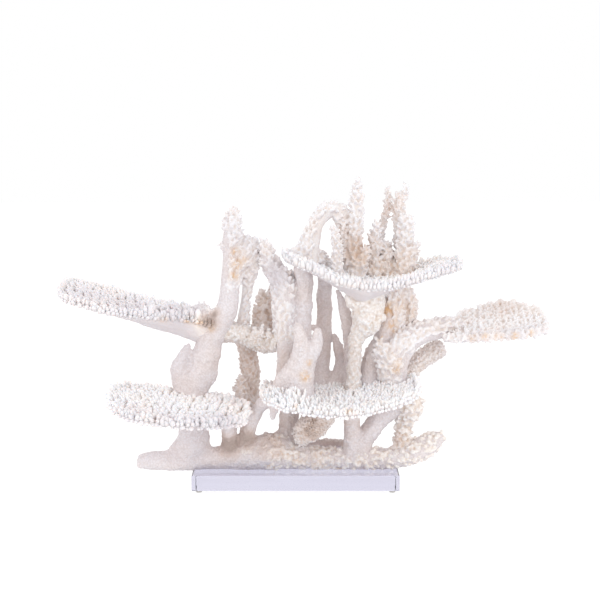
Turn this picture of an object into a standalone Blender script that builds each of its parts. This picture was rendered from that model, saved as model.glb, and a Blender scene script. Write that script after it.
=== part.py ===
"""Branching coral mounted on a clear acrylic block with four small bumper feet.

The coral is a group of table plates, fingers and broken branches that grow from one log,
which lies along the block.  It is split at its main forks, so each limb is its own solid.
X runs to the right, Y away from the viewer and Z up, with the origin under the middle of
the whole piece, on the surface that the feet stand on.

Paths are written in millimetres as (x, y, z, radius) points and scaled by MM.
"""
import math
import random

import bmesh
import bpy
import numpy as np
from mathutils import Vector
from mathutils.bvhtree import BVHTree

MM = 0.001
GAP = 0.3 * MM

# Stand: a 10 by 4.5 by 3/4 inch block on domed bumpers.
BLOCK_WIDTH = 254.0
BLOCK_DEPTH = 114.0
BLOCK_HEIGHT = 19.0
BLOCK_EDGE = 0.6
FOOT_RADIUS = 4.8
FOOT_TIP_RADIUS = 3.5
FOOT_SIDES = 12
FOOT_HEIGHT = 3.0
FOOT_INSET = 8.5
BLOCK_BOTTOM = FOOT_HEIGHT + GAP / MM
BLOCK_TOP = BLOCK_BOTTOM + BLOCK_HEIGHT

# The middle of the whole footprint, seen from the middle of the block.
FOOTPRINT_MIDDLE = Vector((11.5, -38.0, 0.0))

# Limbs: how fine the solids are, and how far their knobs stand out.
RING_SPACING = 16.0
FINGER_SPACING = 13.0
LIMB_SIDES = 7
FINGER_SIDES = 6
LEAST_RADIUS = 1.2
LIMB_ROUGHNESS = 0.05
KNOB_HEIGHT = 4.2
KNOB_VARIETY = (0.75, 1.2)
KNOB_LEAN = 0.6

# Plates: the leaf's rows and edge, and the branchlets on it.  A branchlet has its full length
# where a row is at least FULL_SPACING deep.
PLATE_SPACING = 14.0
PLATE_ROWS = 6
PLATE_THICKNESS = 9.0
PLATE_EDGE = 4.0
PLATE_UNEVENNESS = 1.2
UNDERSIDE = (0.9, 0.0, -0.9)
KEEL_POWER = 0.7
FULL_SPACING = 9.0
BRANCHLET_VARIETY = (0.8, 1.12)
BRANCHLET_SPREAD = 0.55
RIM_LENGTH = 0.55
RIM_RISE = 0.35
MOST_SPREAD = 0.7

# Cutting: how far a cutter's corner may reach, the weld of scraps, and the share of a limb that
# a sound cut always leaves.
MOST_REACH = 2.5
ISLAND_WELD = 0.01 * MM
LEAST_LEFT = 0.3
FLAT_ANGLE = math.radians(0.1)
STRAIGHT_ANGLE = math.radians(8.0)

# Where two faces meet at more than this, the edge is shaded sharp.
LIMB_CREASE = math.radians(62.0)
BLOCK_CREASE = math.radians(30.0)


def clear_scene():
    for old in list(bpy.data.objects):
        bpy.data.objects.remove(old, do_unlink=True)


def make_material(name, colour, roughness, metallic=0.0, alpha=1.0, transmission=0.0, ior=1.5):
    material = bpy.data.materials.new(name)
    material.use_nodes = True
    shader = material.node_tree.nodes["Principled BSDF"]
    shader.inputs["Base Color"].default_value = (*colour, 1.0)
    shader.inputs["Roughness"].default_value = roughness
    shader.inputs["Metallic"].default_value = metallic
    shader.inputs["Alpha"].default_value = alpha
    shader.inputs["Transmission Weight"].default_value = transmission
    shader.inputs["IOR"].default_value = ior
    material.diffuse_color = (*colour, alpha)
    return material


def make_object(name, mesh, material, location=(0.0, 0.0, 0.0)):
    thing = bpy.data.objects.new(name, mesh)
    bpy.context.scene.collection.objects.link(thing)
    mesh.materials.clear()
    mesh.materials.append(material)
    thing.location = location
    return thing


def bake_modifiers(thing):
    """Replaces an object's mesh by what its modifiers make of it."""
    bpy.context.view_layer.update()
    graph = bpy.context.evaluated_depsgraph_get()
    mesh = bpy.data.meshes.new_from_object(thing.evaluated_get(graph))
    thing.modifiers.clear()
    thing.data = mesh


def world_shape(thing):
    shape = bmesh.new()
    shape.from_mesh(thing.data)
    bmesh.ops.translate(shape, verts=shape.verts, vec=thing.location)
    return shape


def world_tree(thing):
    shape = world_shape(thing)
    tree = BVHTree.FromBMesh(shape)
    shape.free()
    return tree


def body_volume(thing):
    shape = world_shape(thing)
    volume = shape.calc_volume(signed=True)
    shape.free()
    return volume


def combine(thing, other, operation, keep_clear_of=None):
    """Adds or cuts away another body.

    Where the exact solver loses the limb, or leaves it crossing the skin that it must keep
    clear of, the other solver is used.
    """
    whole = thing.data
    volume = body_volume(thing)
    for solver in ("EXACT", "MANIFOLD"):
        thing.data = whole
        step = thing.modifiers.new(operation.lower(), "BOOLEAN")
        step.operation = operation
        step.solver = solver
        step.object = other
        bake_modifiers(thing)
        if body_volume(thing) < LEAST_LEFT * volume:
            continue
        if keep_clear_of is None or not world_tree(thing).overlap(keep_clear_of):
            return


def keep_largest_body(thing):
    """Deletes the loose scraps that a cut leaves on the far side of a neighbour."""
    shape = bmesh.new()
    shape.from_mesh(thing.data)
    bmesh.ops.remove_doubles(shape, verts=shape.verts, dist=ISLAND_WELD)
    bmesh.ops.dissolve_degenerate(shape, dist=ISLAND_WELD, edges=shape.edges)
    unseen = set(shape.verts)
    bodies = []
    while unseen:
        body = set()
        front = [unseen.pop()]
        while front:
            vert = front.pop()
            body.add(vert)
            for edge in vert.link_edges:
                other = edge.other_vert(vert)
                if other in unseen:
                    unseen.remove(other)
                    front.append(other)
        bodies.append(body)
    bodies.sort(key=len, reverse=True)
    scraps = [vert for body in bodies[1:] for vert in body]
    bmesh.ops.delete(shape, geom=scraps, context="VERTS")
    bmesh.ops.dissolve_limit(shape, angle_limit=FLAT_ANGLE, verts=shape.verts, edges=shape.edges)
    bmesh.ops.triangulate(shape, faces=shape.faces)
    shape.to_mesh(thing.data)
    shape.free()


def smooth_path(points, spacing):
    """A smooth curve through hand-chosen points, read at even steps.

    Each stretch is a cubic whose end slopes are those of the chord between the neighbours.
    """
    knots = np.array(points, dtype=float)
    steps = np.linalg.norm(np.diff(knots[:, :3], axis=0), axis=1)
    along = np.concatenate([[0.0], np.cumsum(steps)])
    slopes = np.gradient(knots, along, axis=0)
    count = max(2, round(along[-1] / spacing)) + 1
    at = np.linspace(0.0, along[-1], count)
    piece = np.clip(np.searchsorted(along, at, side="right") - 1, 0, len(steps) - 1)
    width = steps[piece][:, None]
    t = (at[:, None] - along[piece][:, None]) / width
    start, end = knots[piece], knots[piece + 1]
    start_slope, end_slope = slopes[piece] * width, slopes[piece + 1] * width
    return ((2 * t**3 - 3 * t**2 + 1) * start + (t**3 - 2 * t**2 + t) * start_slope
            + (3 * t**2 - 2 * t**3) * end + (t**3 - t**2) * end_slope)


def carried_frames(centres):
    """Two directions square to the path at each ring, carried along it without twisting."""
    tangents = np.gradient(centres, axis=0)
    tangents /= np.linalg.norm(tangents, axis=1)[:, None]
    side = np.cross(tangents[0], (0.0, 1.0, 0.0))
    if np.linalg.norm(side) < 0.2:
        side = np.cross(tangents[0], (1.0, 0.0, 0.0))
    sides = []
    for tangent in tangents:
        side = side - tangent * np.dot(side, tangent)
        side = side / np.linalg.norm(side)
        sides.append(side)
    sides = np.array(sides)
    return sides, np.cross(tangents, sides), tangents


def skin_rings(rings, base):
    """Joins rings of points into a closed body with a flat face at each end."""
    shape = bmesh.new()
    rows = [[shape.verts.new((Vector(point) - base) * MM) for point in ring] for ring in rings]
    count = len(rows[0])
    walls = []
    for low, high in zip(rows, rows[1:]):
        row = []
        for index in range(count):
            after = (index + 1) % count
            row.append(shape.faces.new((low[index], low[after], high[after], high[index])))
        walls.append(row)
    shape.faces.new(list(reversed(rows[0])))
    shape.faces.new(rows[-1])
    bmesh.ops.recalc_face_normals(shape, faces=shape.faces)
    if shape.calc_volume(signed=True) < 0:
        bmesh.ops.reverse_faces(shape, faces=shape.faces)
    return shape, walls


def raise_face(shape, face, push):
    """Turns one face into a pyramid whose tip is the middle of the face, pushed out."""
    tip = face.calc_center_median() + push
    bmesh.ops.poke(shape, faces=[face])["verts"][0].co = tip


def limb_body(path, sides, knobs, seed, spacing=RING_SPACING):
    """A tapering tube along a path, a little uneven, with blunt knobs on every second face."""
    chance = random.Random(seed)
    rows = smooth_path(path, spacing)
    centres, radii = rows[:, :3], np.maximum(rows[:, 3], LEAST_RADIUS)
    across, beside, tangents = carried_frames(centres)
    rings = []
    for index, centre in enumerate(centres):
        turn = 0.5 * (index % 2) if knobs else 0.0
        ring = []
        for corner in range(sides):
            angle = 2 * math.pi * (corner + turn) / sides
            reach = radii[index] * (1 + chance.uniform(-LIMB_ROUGHNESS, LIMB_ROUGHNESS))
            ring.append(centre + reach * (math.cos(angle) * across[index] + math.sin(angle) * beside[index]))
        rings.append(ring)
    base = Vector(centres[0])
    shape, walls = skin_rings(rings, base)
    if knobs:
        for index, row in enumerate(walls):
            lean = Vector(tangents[index]) * KNOB_LEAN
            for corner, face in enumerate(row):
                if (index + corner) % 2 == 0:
                    height = knobs * chance.uniform(*KNOB_VARIETY) * MM
                    push = (face.normal + lean).normalized() * height
                    raise_face(shape, face, push)
    else:
        bmesh.ops.dissolve_limit(shape, angle_limit=STRAIGHT_ANGLE, verts=shape.verts, edges=shape.edges)
    return shape, base


def plate_body(stations, tilt, dish, keel, branchlet, seed, bare=(), rows=PLATE_ROWS):
    """A leaf carried along its middle line, set with upright branchlets.

    A station is (x, y, z, half depth, keel share).  The leaf rises to the back by the tilt,
    its rims rise by the dish, and its underside swells to a keel along the middle line.
    No branchlet stands in a bare spot, (x, y, radius), where a limb has its foot.
    """
    chance = random.Random(seed)
    line = smooth_path([station[:4] for station in stations], PLATE_SPACING)
    share = np.interp(line[:, 0], *zip(*sorted((s[0], s[4]) for s in stations)))
    widest = max(line[:, 3])
    slope = math.tan(math.radians(tilt))
    upper = [-1 + 2 * index / rows for index in range(rows + 1)]
    rings = []
    for (x, y, z, depth), keel_share in zip(line, share):
        ring = []
        for t in upper:
            jitter = [chance.uniform(-PLATE_UNEVENNESS, PLATE_UNEVENNESS) for _ in range(3)]
            height = z + slope * t * depth + dish * (t * depth / widest) ** 2
            ring.append((x + jitter[0], y + t * depth + jitter[1], height + 0.5 * jitter[2]))
        for t in UNDERSIDE:
            swell = PLATE_THICKNESS - PLATE_EDGE + keel * keel_share
            under = PLATE_EDGE + swell * (1 - abs(t)) ** KEEL_POWER
            height = z + slope * t * depth + dish * (t * depth / widest) ** 2 - under
            ring.append((x, y + t * depth, height))
        rings.append(ring)
    base = Vector(line[0, :3])
    shape, walls = skin_rings(rings, base)
    spread = np.gradient(line[:, 3]) / np.linalg.norm(np.gradient(line[:, :3], axis=0), axis=1)
    direction = np.sign(line[-1, 0] - line[0, 0])
    ahead = -direction * np.clip(spread, -MOST_SPREAD, MOST_SPREAD)
    for index, row in enumerate(walls):
        for corner, face in enumerate(row[:rows]):
            t = (upper[corner] + upper[corner + 1]) / 2
            spot = face.calc_center_median() / MM + base
            if any(math.hypot(spot.x - x, spot.y - y) < reach for x, y, reach in bare):
                continue
            lean = Vector((MOST_SPREAD * ahead[index], BRANCHLET_SPREAD * t * abs(t), 0.0))
            room = min(1.0, 2 * line[index, 3] / rows / FULL_SPACING)
            height = branchlet * room * chance.uniform(*BRANCHLET_VARIETY) * MM
            push = (Vector((0.0, 0.0, 1.0)) + lean).normalized() * height
            raise_face(shape, face, push)
        for corner, outward in ((rows, 1.0), (len(upper) + len(UNDERSIDE) - 1, -1.0)):
            if (index + (outward > 0)) % 2:
                continue
            face = row[corner]
            height = RIM_LENGTH * branchlet * chance.uniform(*BRANCHLET_VARIETY) * MM
            push = Vector((MOST_SPREAD * ahead[index], outward, RIM_RISE)).normalized() * height
            raise_face(shape, face, push)
    return shape, base


def finish_object(name, shape, base, material):
    """The mesh as an object, moved so that the middle of the footprint is the origin."""
    bmesh.ops.triangulate(shape, faces=shape.faces)
    mesh = bpy.data.meshes.new(name)
    shape.to_mesh(mesh)
    shape.free()
    return make_object(name, mesh, material, (base - FOOTPRINT_MIDDLE) * MM)


def grown_copy(thing):
    """A hidden cutter: the same body with its skin moved out by the gap."""
    shape = bmesh.new()
    shape.from_mesh(thing.data)
    shape.normal_update()
    moves = [vert.normal * GAP * min(vert.calc_shell_factor(), MOST_REACH) for vert in shape.verts]
    for vert, move in zip(shape.verts, moves):
        vert.co += move
    mesh = bpy.data.meshes.new(thing.name + "_cutter")
    shape.to_mesh(mesh)
    shape.free()
    cutter = bpy.data.objects.new(thing.name + "_cutter", mesh)
    bpy.context.scene.collection.objects.link(cutter)
    cutter.location = thing.location
    cutter.hide_render = True
    cutter.display_type = "WIRE"
    return cutter


class Coral:
    """The pieces placed so far; each new piece is cut back where it meets them.

    A cutter is made from each body before it is cut itself, so its skin is even and clean.
    """

    def __init__(self):
        self.cutters = []

    def cutters_of(self, thing):
        cutter = grown_copy(thing)
        return [(cutter, world_tree(cutter), world_tree(thing))]

    def place(self, thing, own_cutters=None, crease=LIMB_CREASE):
        own_cutters = own_cutters or self.cutters_of(thing)
        tree = world_tree(thing)
        for cutter, grown_skin, skin in self.cutters:
            if tree.overlap(grown_skin):
                combine(thing, cutter, "DIFFERENCE", skin)
        keep_largest_body(thing)
        thing.data.shade_smooth()
        thing.data.set_sharp_from_angle(angle=crease)
        self.cutters += own_cutters
        return thing

    def limb(self, name, material, path, extras=(), knobs=0.0, sides=LIMB_SIDES, spacing=RING_SPACING):
        """Places a limb; the extras are short side branches fused to it before it is cut."""
        shape, base = limb_body(path, sides, knobs, name, spacing)
        thing = finish_object(name, shape, base, material)
        own_cutters = self.cutters_of(thing)
        for index, extra in enumerate(extras):
            shape, base = limb_body(extra, sides - 1, 0.0, name + str(index), spacing)
            side_branch = finish_object(f"{name}_side_{index}", shape, base, material)
            own_cutters += self.cutters_of(side_branch)
            combine(thing, side_branch, "UNION")
            bpy.data.objects.remove(side_branch)
        return self.place(thing, own_cutters)

    def plate(self, name, material, stations, **shape_values):
        shape, base = plate_body(stations, seed=name, **shape_values)
        return self.place(finish_object(name, shape, base, material))

    def remove_cutters(self):
        for cutter, _, _ in self.cutters:
            bpy.data.objects.remove(cutter)


def add_stand(coral, acrylic, rubber):
    """The polished block and the four domed bumpers under its corners."""
    shape = bmesh.new()
    bmesh.ops.create_cube(shape, size=1.0)
    bmesh.ops.scale(shape, verts=shape.verts, vec=(BLOCK_WIDTH * MM, BLOCK_DEPTH * MM, BLOCK_HEIGHT * MM))
    bmesh.ops.bevel(shape, geom=shape.edges, offset=BLOCK_EDGE * MM, segments=1, affect="EDGES")
    middle = Vector((0.0, 0.0, BLOCK_BOTTOM + BLOCK_HEIGHT / 2))
    coral.place(finish_object("acrylic_block", shape, middle, acrylic), crease=BLOCK_CREASE)
    reach_x = BLOCK_WIDTH / 2 - FOOT_INSET
    reach_y = BLOCK_DEPTH / 2 - FOOT_INSET
    corners = {"front_left": (-1, -1), "front_right": (1, -1), "back_left": (-1, 1), "back_right": (1, 1)}
    for corner, (side_x, side_y) in corners.items():
        shape = bmesh.new()
        bmesh.ops.create_cone(shape, cap_ends=True, segments=FOOT_SIDES, radius1=FOOT_TIP_RADIUS * MM,
                              radius2=FOOT_RADIUS * MM, depth=FOOT_HEIGHT * MM)
        place = Vector((side_x * reach_x, side_y * reach_y, FOOT_HEIGHT / 2))
        coral.place(finish_object("bumper_foot_" + corner, shape, place, rubber))


def add_log(coral, smooth):
    """The log along the block, and what stands directly on its left half."""
    coral.limb("trunk_log", smooth, [
        (-194, -17, 30.5, 8.5), (-184, -17, 31, 10.5), (-169, -17, 31.5, 12), (-142, -17, 32.5, 14),
        (-109, -17, 34, 13.5), (-76, -17, 37, 17), (-47, -17, 42, 21), (-23, -17, 43.5, 22.5),
        (-2, -17, 39, 17.5), (24, -17, 35.5, 14), (61, -17, 33.5, 12.5), (99, -17, 33.5, 13),
        (127, -17, 36, 13), (150, -18, 45, 14.5), (167, -19, 54, 13.5), (178, -20, 62, 9)],
        sides=8, spacing=18.0)
    coral.limb("left_column", smooth, [
        (-131, -17, 42, 17), (-127, -17, 57, 19.5), (-128, -16, 77, 17.5), (-130, -14, 101, 17.5),
        (-127, -12, 122, 18.5), (-117, -10, 143, 20), (-112, -9, 159, 18), (-108, -8, 176, 16.5),
        (-103, -8, 194, 16)],
        extras=[[(-125, -17, 66, 13), (-139, -17, 54, 11), (-150, -17, 45, 8)]], sides=8)
    coral.limb("left_stub", smooth, [
        (-135, -14, 108, 10.5), (-143, -16, 131, 9.5), (-144.5, -16, 147, 9.5), (-141, -16, 158, 8),
        (-137, -16, 168, 6), (-132, -16, 177, 2.5)])


def add_plates(coral, plate, granular):
    """The five table plates, each grown out of a limb as one leaf."""
    coral.plate("front_left_plate", plate, [
        (-225, -62, 123, 17, 0), (-213, -64, 121, 38, 0), (-199, -68, 117, 52, 0.2),
        (-163, -72, 111, 57, 0.7),
        (-127, -72, 107, 56, 1), (-96, -68, 105, 50, 0.7), (-71, -62, 102, 36, 0.3), (-58, -58, 102, 14, 0)],
        tilt=6.5, dish=3, keel=5, branchlet=13, bare=[(-129, -12, 20)])
    coral.plate("front_plate", plate, [
        (-42, -46, 124, 14, 0), (-28, -50, 124, 36, 0), (-7, -54, 119, 49, 0.4), (30, -58, 112.5, 54, 1),
        (62, -58, 115.5, 56, 1), (92, -55, 119.5, 54, 0.8), (122, -48, 124.5, 46, 0.5),
        (142, -42, 128, 33, 0.2), (153, -38, 129, 17, 0)],
        tilt=8, dish=2, keel=8, branchlet=10,
        bare=[(-15, -30, 17), (5, -62, 18), (37, -4, 22), (70, -14, 22), (90, -8, 16), (128, -10, 22)])
    coral.plate("upper_left_plate", plate, [
        (-98, -8, 203, 13, 1), (-118, -8, 210, 21, 1), (-143, -10, 214, 28, 1), (-179, -12, 217.5, 35, 0.7),
        (-210, -14, 224.5, 44, 0.3), (-247, -15, 234.5, 49, 0), (-272, -15, 242, 43, 0),
        (-289, -14, 246.5, 25, 0)],
        tilt=9, dish=2, keel=19, branchlet=11.5, bare=[(-98, -8, 10)])
    coral.plate("bowl_plate", plate, [
        (-17, -26, 294.5, 14, 0), (-4, -25, 290, 26, 0.1), (22, -22, 276, 38, 0.2), (60, -16, 260, 50, 0.6),
        (90, -12, 255, 54, 1), (120, -10, 257, 52, 0.5), (155, -8, 266, 44, 0.1), (184, -6, 274, 34, 0),
        (206, -5, 278, 16, 0)],
        tilt=3, dish=5, keel=16, branchlet=12.5,
        bare=[(17, -4, 20), (52, -12, 14), (76, 6, 20), (102, 14, 18), (124, 22, 24), (138, 8, 18)])
    coral.plate("right_plate", plate, [
        (184, -2, 193, 12, 1), (198, -3, 195, 32, 0.6), (220, -5, 198, 48, 0.3), (250, -7, 201, 57, 0.1),
        (280, -7, 203, 54, 0), (301, -7, 204, 39, 0), (312, -7, 205, 15, 0)],
        tilt=12, dish=4, keel=6, branchlet=11.5, bare=[(190, -3, 12)])
    coral.limb("right_arm", granular, [
        (125, -14, 124, 18), (123, -14, 147, 18), (128, -12, 165, 17), (135, -10, 179, 17),
        (146, -8, 189, 16), (161, -6, 194, 14), (179, -4, 197, 12), (200, -2, 197, 9)])


def add_left_side(coral, finger, smooth, granular, rough):
    """The tall finger, the shaded rear branch, the bridge at the fork and the link arm."""
    coral.limb("left_finger", finger, [
        (-104, -8, 188, 16), (-92, -8, 207, 15.5), (-82, -8, 225, 13), (-78, -8, 244, 12.5),
        (-78, -8, 279, 11.5), (-77, -8, 312, 11), (-77, -8, 334, 8.5), (-74, -8, 345, 3.5)],
        extras=[[(-100, -6, 198, 13), (-111, -4, 211, 14), (-119, -2, 224, 9)],
                [(-78, -8, 306, 8), (-71, -9, 320, 6.5), (-69, -9, 335, 3.5)],
                [(-80, -9, 296, 7), (-93, -10, 300, 4.5)]])
    coral.limb("link_arm", smooth, [
        (-62, -17, 44, 10), (-61.5, -18, 60, 9.8), (-59, -22, 76, 9), (-49, -30, 95, 8.5),
        (-36, -42, 111, 8), (-19, -50, 117, 8)],
        extras=[[(-22, -50, 116, 7), (-26, -52, 104, 6), (-28, -54, 94, 3.5)]])
    coral.limb("rear_branch", granular, [
        (-60, -4, 30, 10), (-62, 0, 48, 10), (-60, 4, 68, 9), (-55, 10, 87, 7.5), (-53, 16, 104, 7),
        (-54, 20, 118, 8), (-56, 22, 133, 11), (-59, 24, 148, 11.5), (-62, 24, 164, 10.5),
        (-66, 20, 180, 11.5), (-76, 10, 192, 11.5)],
        extras=[[(-54, 14, 93, 7), (-63, 6, 105, 10), (-69, 2, 119, 9), (-68, 2, 131, 5)]])
    coral.limb("left_bridge", rough, [
        (-96, -6, 194, 13.5), (-82, -3, 191, 13), (-68, 0, 189, 12), (-52, 2, 181, 12.5), (-37, 0, 176, 12),
        (-16, -8, 184, 12.5)],
        extras=[[(-50, -6, 184, 7), (-43, -11, 198, 7), (-36, -12, 207, 3.5)]])
    coral.limb("rear_spur", rough, [
        (-48, 14, 178, 11), (-43, 24, 190, 13), (-40, 28, 205, 13), (-41, 28, 219, 10.5), (-42, 27, 237, 4)],
        extras=[[(-38, 26, 212, 8), (-34, 24, 227, 6), (-31, 22, 240, 3)]])
    coral.limb("slim_crown", finger, [
        (-68, 6, 184, 10), (-63, 10, 207, 8.5), (-61, 10, 225, 8), (-57, 8, 246, 9), (-53, 6, 265, 9.5),
        (-52, 4, 282, 9), (-52, 4, 296, 8), (-53, 4, 307, 4.5)], knobs=KNOB_HEIGHT, sides=FINGER_SIDES)
    coral.limb("crown_lobe", finger, [
        (-76, -7, 268, 7.5), (-68, -5, 281, 9), (-65, -3, 294, 8.5), (-63, -2, 306, 5)], sides=FINGER_SIDES)


def add_centre(coral, finger, smooth, rough):
    """The limbs that stand on the front plate, from the crown to the spire."""
    coral.limb("main_crown", finger, [
        (-14, -30, 112, 13.5), (-10, -22, 141, 13.5), (-10, -14, 168, 13), (-12, -8, 194, 12.5),
        (-17, -5, 219, 12.5), (-17, -4, 240, 12), (-21, -4, 258, 12.5), (-30, -4, 276, 12.5),
        (-36, -4, 291, 11), (-38, -4, 306, 6)],
        extras=[[(-14, -8, 220, 9), (-9, -12, 246, 8), (-12, -12, 264, 6), (-16, -12, 275, 3.5)],
                [(-10, -2, 200, 10), (-3, 2, 226, 9.5), (-1, 4, 248, 8.5), (-2, 5, 264, 5)]])
    coral.limb("front_slab", smooth, [
        (5, -62, 112, 15), (7, -58, 134, 14), (9, -56, 155, 13), (12, -54, 174, 11), (9, -54, 191, 7),
        (5, -54, 205, 2.5)],
        extras=[[(14, -55, 158, 9), (20, -53, 174, 7.5), (25, -52, 187, 5.5), (27, -52, 196, 3)],
                [(6, -57, 160, 9), (-3, -55, 147, 11.5), (-12, -53, 136, 12), (-17, -52, 124, 11)]])
    coral.limb("centre_column", smooth, [
        (7, -26, 150, 9), (8, -12, 172, 11), (9, -8, 197, 10.5), (11, -8, 232, 10), (11, -10, 256, 10.5),
        (8, -14, 274, 11)])
    coral.limb("shaded_column", smooth, [
        (31, -6, 104, 12), (31, 6, 118, 12.5), (32, 16, 134, 11), (34, 22, 154, 9.5), (36, 26, 176, 9),
        (36, 26, 208, 9.5), (36, 20, 240, 9.5), (37, 8, 264, 9.5)],
        extras=[[(37, 26, 184, 7), (27, 24, 189, 4.5), (16, 22, 193, 2)]])
    coral.limb("back_fork", smooth, [
        (43, -6, 106, 11), (48, 4, 120, 11.5), (55, 11, 137, 9.5), (59, 15, 153, 6.5), (56, 17, 167, 5.5),
        (51, 18, 182, 2.5)])
    coral.limb("thin_spire", smooth, [
        (70, -8, 112, 10.5), (68, -2, 135, 10), (65, 0, 158, 7.5), (64, 2, 177, 7), (60, 2, 203, 7),
        (55, 2, 226, 6), (50, 2, 241, 2.5)])
    coral.limb("upper_stem", rough, [
        (72, -24, 114, 12.5), (72, -22, 144, 10.5), (73, -20, 167, 10.5), (75, -20, 184, 11.5),
        (81, -20, 197, 16.5),
        (87, -20, 210, 19.5), (89, -20, 228, 20), (90, -18, 248, 22)], sides=8, spacing=14.0)
    coral.limb("right_brace", smooth, [
        (88, -10, 116, 11), (95, -4, 141, 11), (101, -4, 161, 10.5), (107, -4, 177, 10.5), (112, -4, 192, 11),
        (115, -2, 208, 10), (114, 0, 226, 10)])
    coral.limb("rear_stem", finger, [
        (126, -6, 176, 9), (127, 0, 192, 9), (126, 2, 206, 10.5), (125, 4, 220, 12), (122, 6, 234, 12.5),
        (120, 8, 250, 13)],
        extras=[[(134, 0, 180, 7), (141, 5, 198, 7), (144, 8, 216, 7), (142, 8, 232, 8), (132, 8, 246, 9)]],
        knobs=2.2)


def add_supports(coral, smooth, knobby, rough):
    """What stands between the log and the two front plates."""
    coral.limb("middle_column", smooth, [
        (70, -17, 40, 9), (70, -19, 52, 10.5), (70, -24, 68, 10), (69, -34, 90, 10.5), (69, -42, 108, 12)])
    coral.limb("diagonal_brace", smooth, [
        (76, -15, 40, 11), (86, -15, 59, 12), (96, -16, 75, 12.5), (110, -18, 90, 12.5),
        (129, -22, 102, 10.5), (140, -27, 118, 10)])
    coral.limb("knobby_column", knobby, [
        (130, -16, 36, 11), (133, -15, 58, 11), (134, -17, 80, 10.5), (135, -20, 98, 10.5),
        (136, -24, 112, 11)],
        knobs=KNOB_HEIGHT)
    coral.limb("hanging_stub", rough, [
        (48, -52, 112, 11), (40, -50, 103, 13), (29, -45, 90, 16), (17, -40, 78, 17), (9, -37, 68, 13),
        (7, -36, 60, 9)])
    coral.limb("back_column", smooth, [
        (-12, -10, 46, 10), (-10, -6, 62, 12), (-8, -6, 85, 12), (-8, -11, 112, 12)])
    coral.limb("left_prop", smooth, [
        (-82, -17, 38, 9.5), (-82, -22, 60, 9), (-81.5, -33, 82, 9.5), (-81, -42, 98, 10.5)])
    coral.limb("low_rear_bar", smooth, [
        (-6, 4, 40, 8), (4, 17, 45, 6), (33, 20, 45, 5.5), (58, 16, 45, 6), (69, -4, 46, 7)])
    coral.limb("corner_lump", knobby, [
        (132, -30, 114, 11), (140, -32, 118, 13), (147, -33, 111, 13), (145, -32, 97, 11), (142, -30, 86, 6)])
    coral.limb("right_stub", rough, [
        (126, -4, 124, 10), (135, 4, 132, 10.5), (146, 9, 141, 11), (158, 13, 151, 11.5), (171, 17, 160, 12),
        (186, 20, 166, 10.5)])


def add_fingers(coral, finger):
    """The fingers that rise out of the bowl plate."""
    coral.limb("hooked_finger", finger, [
        (15, -6, 272, 13), (16, -2, 292, 14), (22, 4, 311, 10.5), (27, 8, 327, 9.5), (36, 12, 338, 10.5),
        (46, 14, 342, 10.5), (57, 16, 335, 9.5), (62, 16, 316, 7.5), (66, 14, 294, 8), (70, 12, 272, 8.5),
        (73, 8, 256, 8.5)],
        extras=[[(0, -2, 289, 6.5), (8, 0, 289, 9), (18, 2, 287, 10.5), (29, 4, 284, 9), (38, 4, 274, 6)]],
        knobs=KNOB_HEIGHT, sides=FINGER_SIDES, spacing=FINGER_SPACING)
    coral.limb("tallest_finger", finger, [
        (82, 4, 244, 10), (77, 8, 270, 9.5), (74, 10, 292, 9.5), (73, 10, 310, 9.5), (75, 10, 329, 9),
        (75, 10, 348, 8.5), (75, 10, 365, 6), (77, 10, 381, 2.5)],
        extras=[[(79, 5, 266, 6), (84, 2, 280, 6), (88, 2, 295, 4)]],
        knobs=KNOB_HEIGHT, sides=FINGER_SIDES, spacing=FINGER_SPACING)
    coral.limb("small_finger", finger, [
        (52, -12, 258, 7.5), (50, -12, 281, 7), (52, -12, 296, 6), (49, -12, 310, 5.5), (47, -12, 322, 3)],
        sides=FINGER_SIDES)
    coral.limb("forked_finger", finger, [
        (130, 20, 250, 10), (130, 26, 275, 9.5), (129, 28, 300, 8), (128, 30, 325, 7), (127, 30, 345, 6),
        (128, 30, 362, 3)],
        extras=[[(127, 29, 332, 6), (132, 27, 352, 5.5), (138, 26, 368, 4.5), (138, 26, 372, 3)]],
        knobs=KNOB_HEIGHT, sides=FINGER_SIDES, spacing=FINGER_SPACING)
    coral.limb("dark_finger", finger, [
        (103, 30, 252, 9), (103, 36, 278, 8), (105, 37, 303, 7), (109, 36, 325, 6.5), (113, 34, 342, 6),
        (115, 34, 357, 5), (115, 34, 366, 3)],
        knobs=KNOB_HEIGHT, sides=FINGER_SIDES, spacing=FINGER_SPACING)
    coral.limb("low_finger", finger, [
        (102, 12, 244, 10), (99, 16, 270, 8), (98, 18, 291, 7.5), (99, 18, 309, 7.5), (101, 18, 323, 4)],
        knobs=KNOB_HEIGHT, sides=FINGER_SIDES, spacing=FINGER_SPACING)
    coral.limb("right_finger", finger, [
        (136, 6, 252, 11), (136, 10, 277, 12), (136, 12, 297, 10.5), (135, 12, 314, 7.5), (134, 12, 334, 4)],
        extras=[[(137, 9, 300, 7), (142, 8, 320, 5), (143, 8, 335, 3)],
                [(137, 8, 268, 9), (145, 4, 288, 6), (151, 4, 302, 3)]],
        knobs=KNOB_HEIGHT, sides=FINGER_SIDES, spacing=FINGER_SPACING)


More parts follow.
